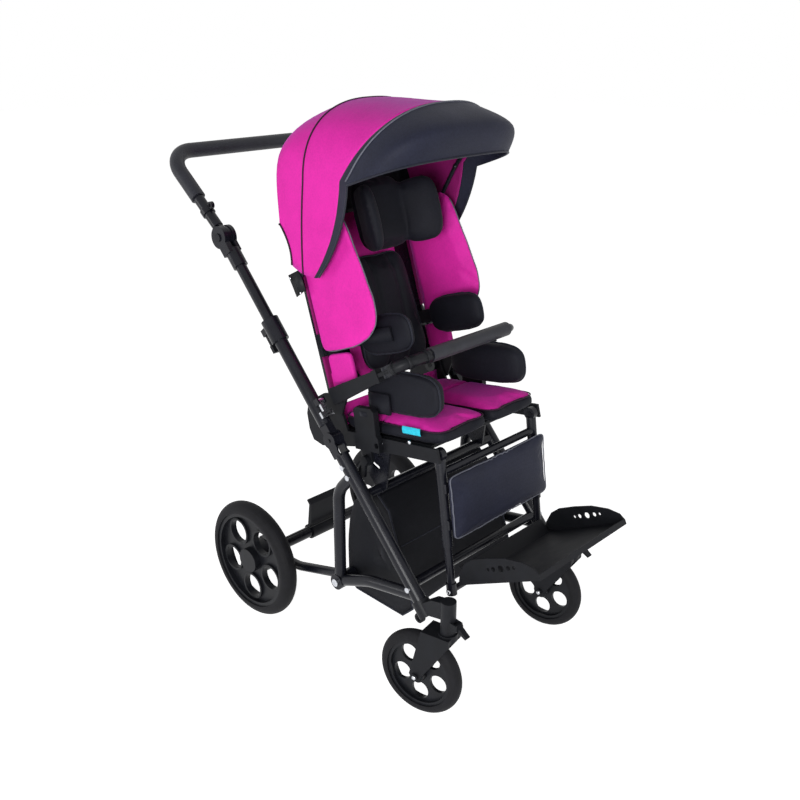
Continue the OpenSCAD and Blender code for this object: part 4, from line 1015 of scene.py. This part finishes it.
class BUGGY_OT_basket(bpy.types.Operator):
    """Sews the basket under the seat"""

    bl_idname = "buggy.basket"
    bl_label = "Basket"

    # Outline of a side panel from the seat's cross tube down the front, along the floor and up the rear
    SIDE = ((3, -12), (-31, -41), (-54, -102), (-92, -200), (-104, -252), (-74, -281), (70, -275), (95, -253),
            (96, -176), (95, -150), (90, -106), (75, -53))
    # How many of those points the wall between the panels follows, whose rear stops at the lip, and the side seams
    WALL, SEAM = 10, 8
    # The wall's half count of steps across, how far it sags inwards, and how far a panel bows in at its middle
    ACROSS, SAG, BOW = 18, 9, 7
    # Rings of a side panel, from its edge to its middle
    RINGS = (1, 0.85, 0.7, 0.5, 0.3, 0.02)
    # The row of the wall where the front seam runs, and a width, in metres
    FRONT_SEAM, FLAT_WIDTH = 13, 0.8

    def execute(self, context):
        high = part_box("basket")[1]
        cross = Vector((high.y / MM - 97, high.z / MM + 11.4))
        half = high.x / MM - 1
        middle = cross + Vector((0, -165))
        side = [cross + Vector(p) for p in self.SIDE]
        rows = self.wall(self.path(side[: self.WALL]), half, middle)
        bm = ribbon(rows)
        loop = self.path(side + side[:1])
        for sign in (-1, 1):
            rings = []
            for share in self.RINGS:
                x = sign * (half - self.BOW * (1 - share ** 2))
                rings.append([Vector((x, *middle.lerp(p, share))) * MM for p in loop])
            panel = ribbon(rings)
            mesh = bpy.data.meshes.new("panel")
            panel.to_mesh(mesh)
            panel.free()
            bm.from_mesh(mesh)
            bpy.data.meshes.remove(mesh)
        bmesh.ops.remove_doubles(bm, verts=bm.verts, dist=0.3 * MM)
        bmesh.ops.recalc_face_normals(bm, faces=bm.faces)
        obj = put("basket_sewn", bm, ["net"], "chassis")
        thickened(obj, 2.0, -1)
        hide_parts("basket")
        for name, sign in (("right", -1), ("left", 1)):
            edge = [Vector((sign * half, *p)) * MM for p in self.path(side[: self.SEAM])]
            tube(f"basket_seam_{name}", edge, 2.0, "binding", "chassis")
        tube("basket_seam_front", rows[self.FRONT_SEAM], 1.3, "binding", "chassis")
        return {"FINISHED"}

    def path(self, points):
        """The line through points, with six steps from each to the next."""
        return [a.lerp(b, k / 6) for a, b in zip(points, points[1:]) for k in range(6)] + [points[-1]]

    def wall(self, line, half, middle):
        """Rows across the basket along its outline, which sag towards its middle."""
        rows = []
        for k, p in enumerate(line):
            row = []
            for i in range(2 * self.ACROSS + 1):
                x = -1 + i / self.ACROSS
                sag = self.SAG * (1 - x * x) * math.sin(math.pi * k / (len(line) - 1))
                q = p + (middle - p).normalized() * sag
                row.append(Vector((x * half, q.x, q.y)) * MM)
            rows.append(row)
        return rows


class BUGGY_OT_fittings(bpy.types.Operator):
    """Adds the bright bolts, the canopy's bracket plates and the sleeve at the safety bar's corner"""

    bl_idname = "buggy.fittings"
    bl_label = "Small fittings"

    # Where bolts sit on the seat frame as (y, z), the x of its plates, and how far out the caster's bolts are
    SEAT_BOLTS = ((-3, 3), (-85, 18))
    SEAT_PLATES = (-171.2, 171.2)
    CASTER_BOLT = 29.3
    # The canopy bracket's outline and rivets as (y, z), and the x of the plate's inner face and of the rivets
    BRACKET = ((22, 282), (-16, 288), (-23, 244), (11, 233))
    RIVETS = ((16, 275), (-7, 240))
    BRACKET_X, RIVET_FACES = 183.6, (-185.5, 185.5)
    # The sleeve's bend: its middle and its radius, and then the x of its straight end's points
    ELBOW, BEND = (-148, -16), 34
    STRAIGHT = (-140, -130, -120, -106)

    def execute(self, context):
        self.studs("seat_bolts", "seat", [spot(SEAT, (x, *p)) for p in self.SEAT_BOLTS for x in self.SEAT_PLATES], 5)
        for side in ("right", "left"):
            joint = JOINTS[f"caster_{side}_roll"]
            axis = Vector(joint["axis"]).normalized()
            spots = [Vector(joint["pos_m"]) + axis * k * self.CASTER_BOLT * MM for k in (-1, 1)]
            self.studs(f"caster_bolts_{side}", f"fork_{side}", spots, 5.5, axis)
        _, y, z = JOINTS["footplate_turn"]["pos_m"]
        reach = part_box("foot_slide")[1].x
        self.studs("foot_bolts", "foot_slide", [Vector((x, y, z)) for x in (-reach, reach)], 6)
        self.brackets()
        self.sleeve()
        return {"FINISHED"}

    def studs(self, name, body, spots, radius, axis=Vector((1, 0, 0))):
        """Tapered bolt heads that face away from the middle of their spots."""
        bm = bmesh.new()
        middle = sum(spots, Vector()) / len(spots)
        for p in spots:
            way = axis if (p - middle).dot(axis) > 0 else -axis
            turn = way.to_track_quat("Z", "Y").to_matrix().to_4x4()
            bmesh.ops.create_cone(
                bm, cap_ends=True, segments=20, radius1=radius * MM, radius2=radius * 0.7 * MM, depth=3 * MM,
                matrix=Matrix.Translation(p + way * 1.2 * MM) @ turn)
        put(name, bm, ["plate"], body)

    def brackets(self):
        """A thin plate with two rivets on each canopy bracket."""
        for side, x in (("right", -self.BRACKET_X), ("left", self.BRACKET_X)):
            bm = bmesh.new()
            face = bm.faces.new([bm.verts.new(spot(BACK, (x, *p))) for p in self.BRACKET])
            out = bmesh.ops.extrude_face_region(bm, geom=[face])["geom"]
            lift = Vector((math.copysign(1.6 * MM, x), 0, 0))
            bmesh.ops.translate(bm, verts=[g for g in out if isinstance(g, bmesh.types.BMVert)], vec=lift)
            bmesh.ops.recalc_face_normals(bm, faces=bm.faces)
            put(f"canopy_bracket_{side}", bm, ["nylon"], "back")
        self.studs("canopy_rivets", "back", [spot(BACK, (x, *p)) for p in self.RIVETS for x in self.RIVET_FACES], 3)

    def sleeve(self):
        """Moulded elbow with three collars over the safety bar's right corner."""
        x, y = self.ELBOW
        points = []
        for k in range(25):
            a = math.pi / 2 * k / 24
            points.append(spot(BAR, (x - self.BEND * math.cos(a), y - self.BEND * math.sin(a), 0)))
        points += [spot(BAR, (end, y - self.BEND, 0)) for end in self.STRAIGHT]
        tube("safety_bar_sleeve", points, 12.5, "nylon", "bar")
        for name, part in (("a", points[2:5]), ("b", points[16:19]), ("c", points[-2:])):
            tube(f"safety_bar_collar_{name}", part, 15.0, "nylon", "bar")


class BUGGY_PT_panel(bpy.types.Panel):
    """Lists the buggy's settings and pieces"""

    bl_label = "Buggy"
    bl_idname = "BUGGY_PT_panel"
    bl_space_type = "VIEW_3D"
    bl_region_type = "UI"
    bl_category = "Buggy"

    def draw(self, context):
        for group in (context.scene.buggy_sizes, context.scene.buggy_look):
            for key in group.__annotations__:
                self.layout.prop(group, key)
        for op in OPERATORS:
            self.layout.operator(op.bl_idname)


OPERATORS = (
    BUGGY_OT_stage, BUGGY_OT_finishes, BUGGY_OT_canopy, BUGGY_OT_cushions, BUGGY_OT_back, BUGGY_OT_supports,
    BUGGY_OT_calf_pad, BUGGY_OT_basket, BUGGY_OT_fittings,
)
CLASSES = (BuggySizes, BuggyLook, *OPERATORS, BUGGY_PT_panel)


def register():
    for cls in CLASSES:
        bpy.utils.register_class(cls)
    bpy.types.Scene.buggy_sizes = bpy.props.PointerProperty(type=BuggySizes)
    bpy.types.Scene.buggy_look = bpy.props.PointerProperty(type=BuggyLook)


def unregister():
    del bpy.types.Scene.buggy_look
    del bpy.types.Scene.buggy_sizes
    for cls in reversed(CLASSES):
        bpy.utils.unregister_class(cls)


def main():
    register()
    for op in OPERATORS:
        group, name = op.bl_idname.split(".")
        getattr(getattr(bpy.ops, group), name)()


if __name__ == "__main__":
    main()
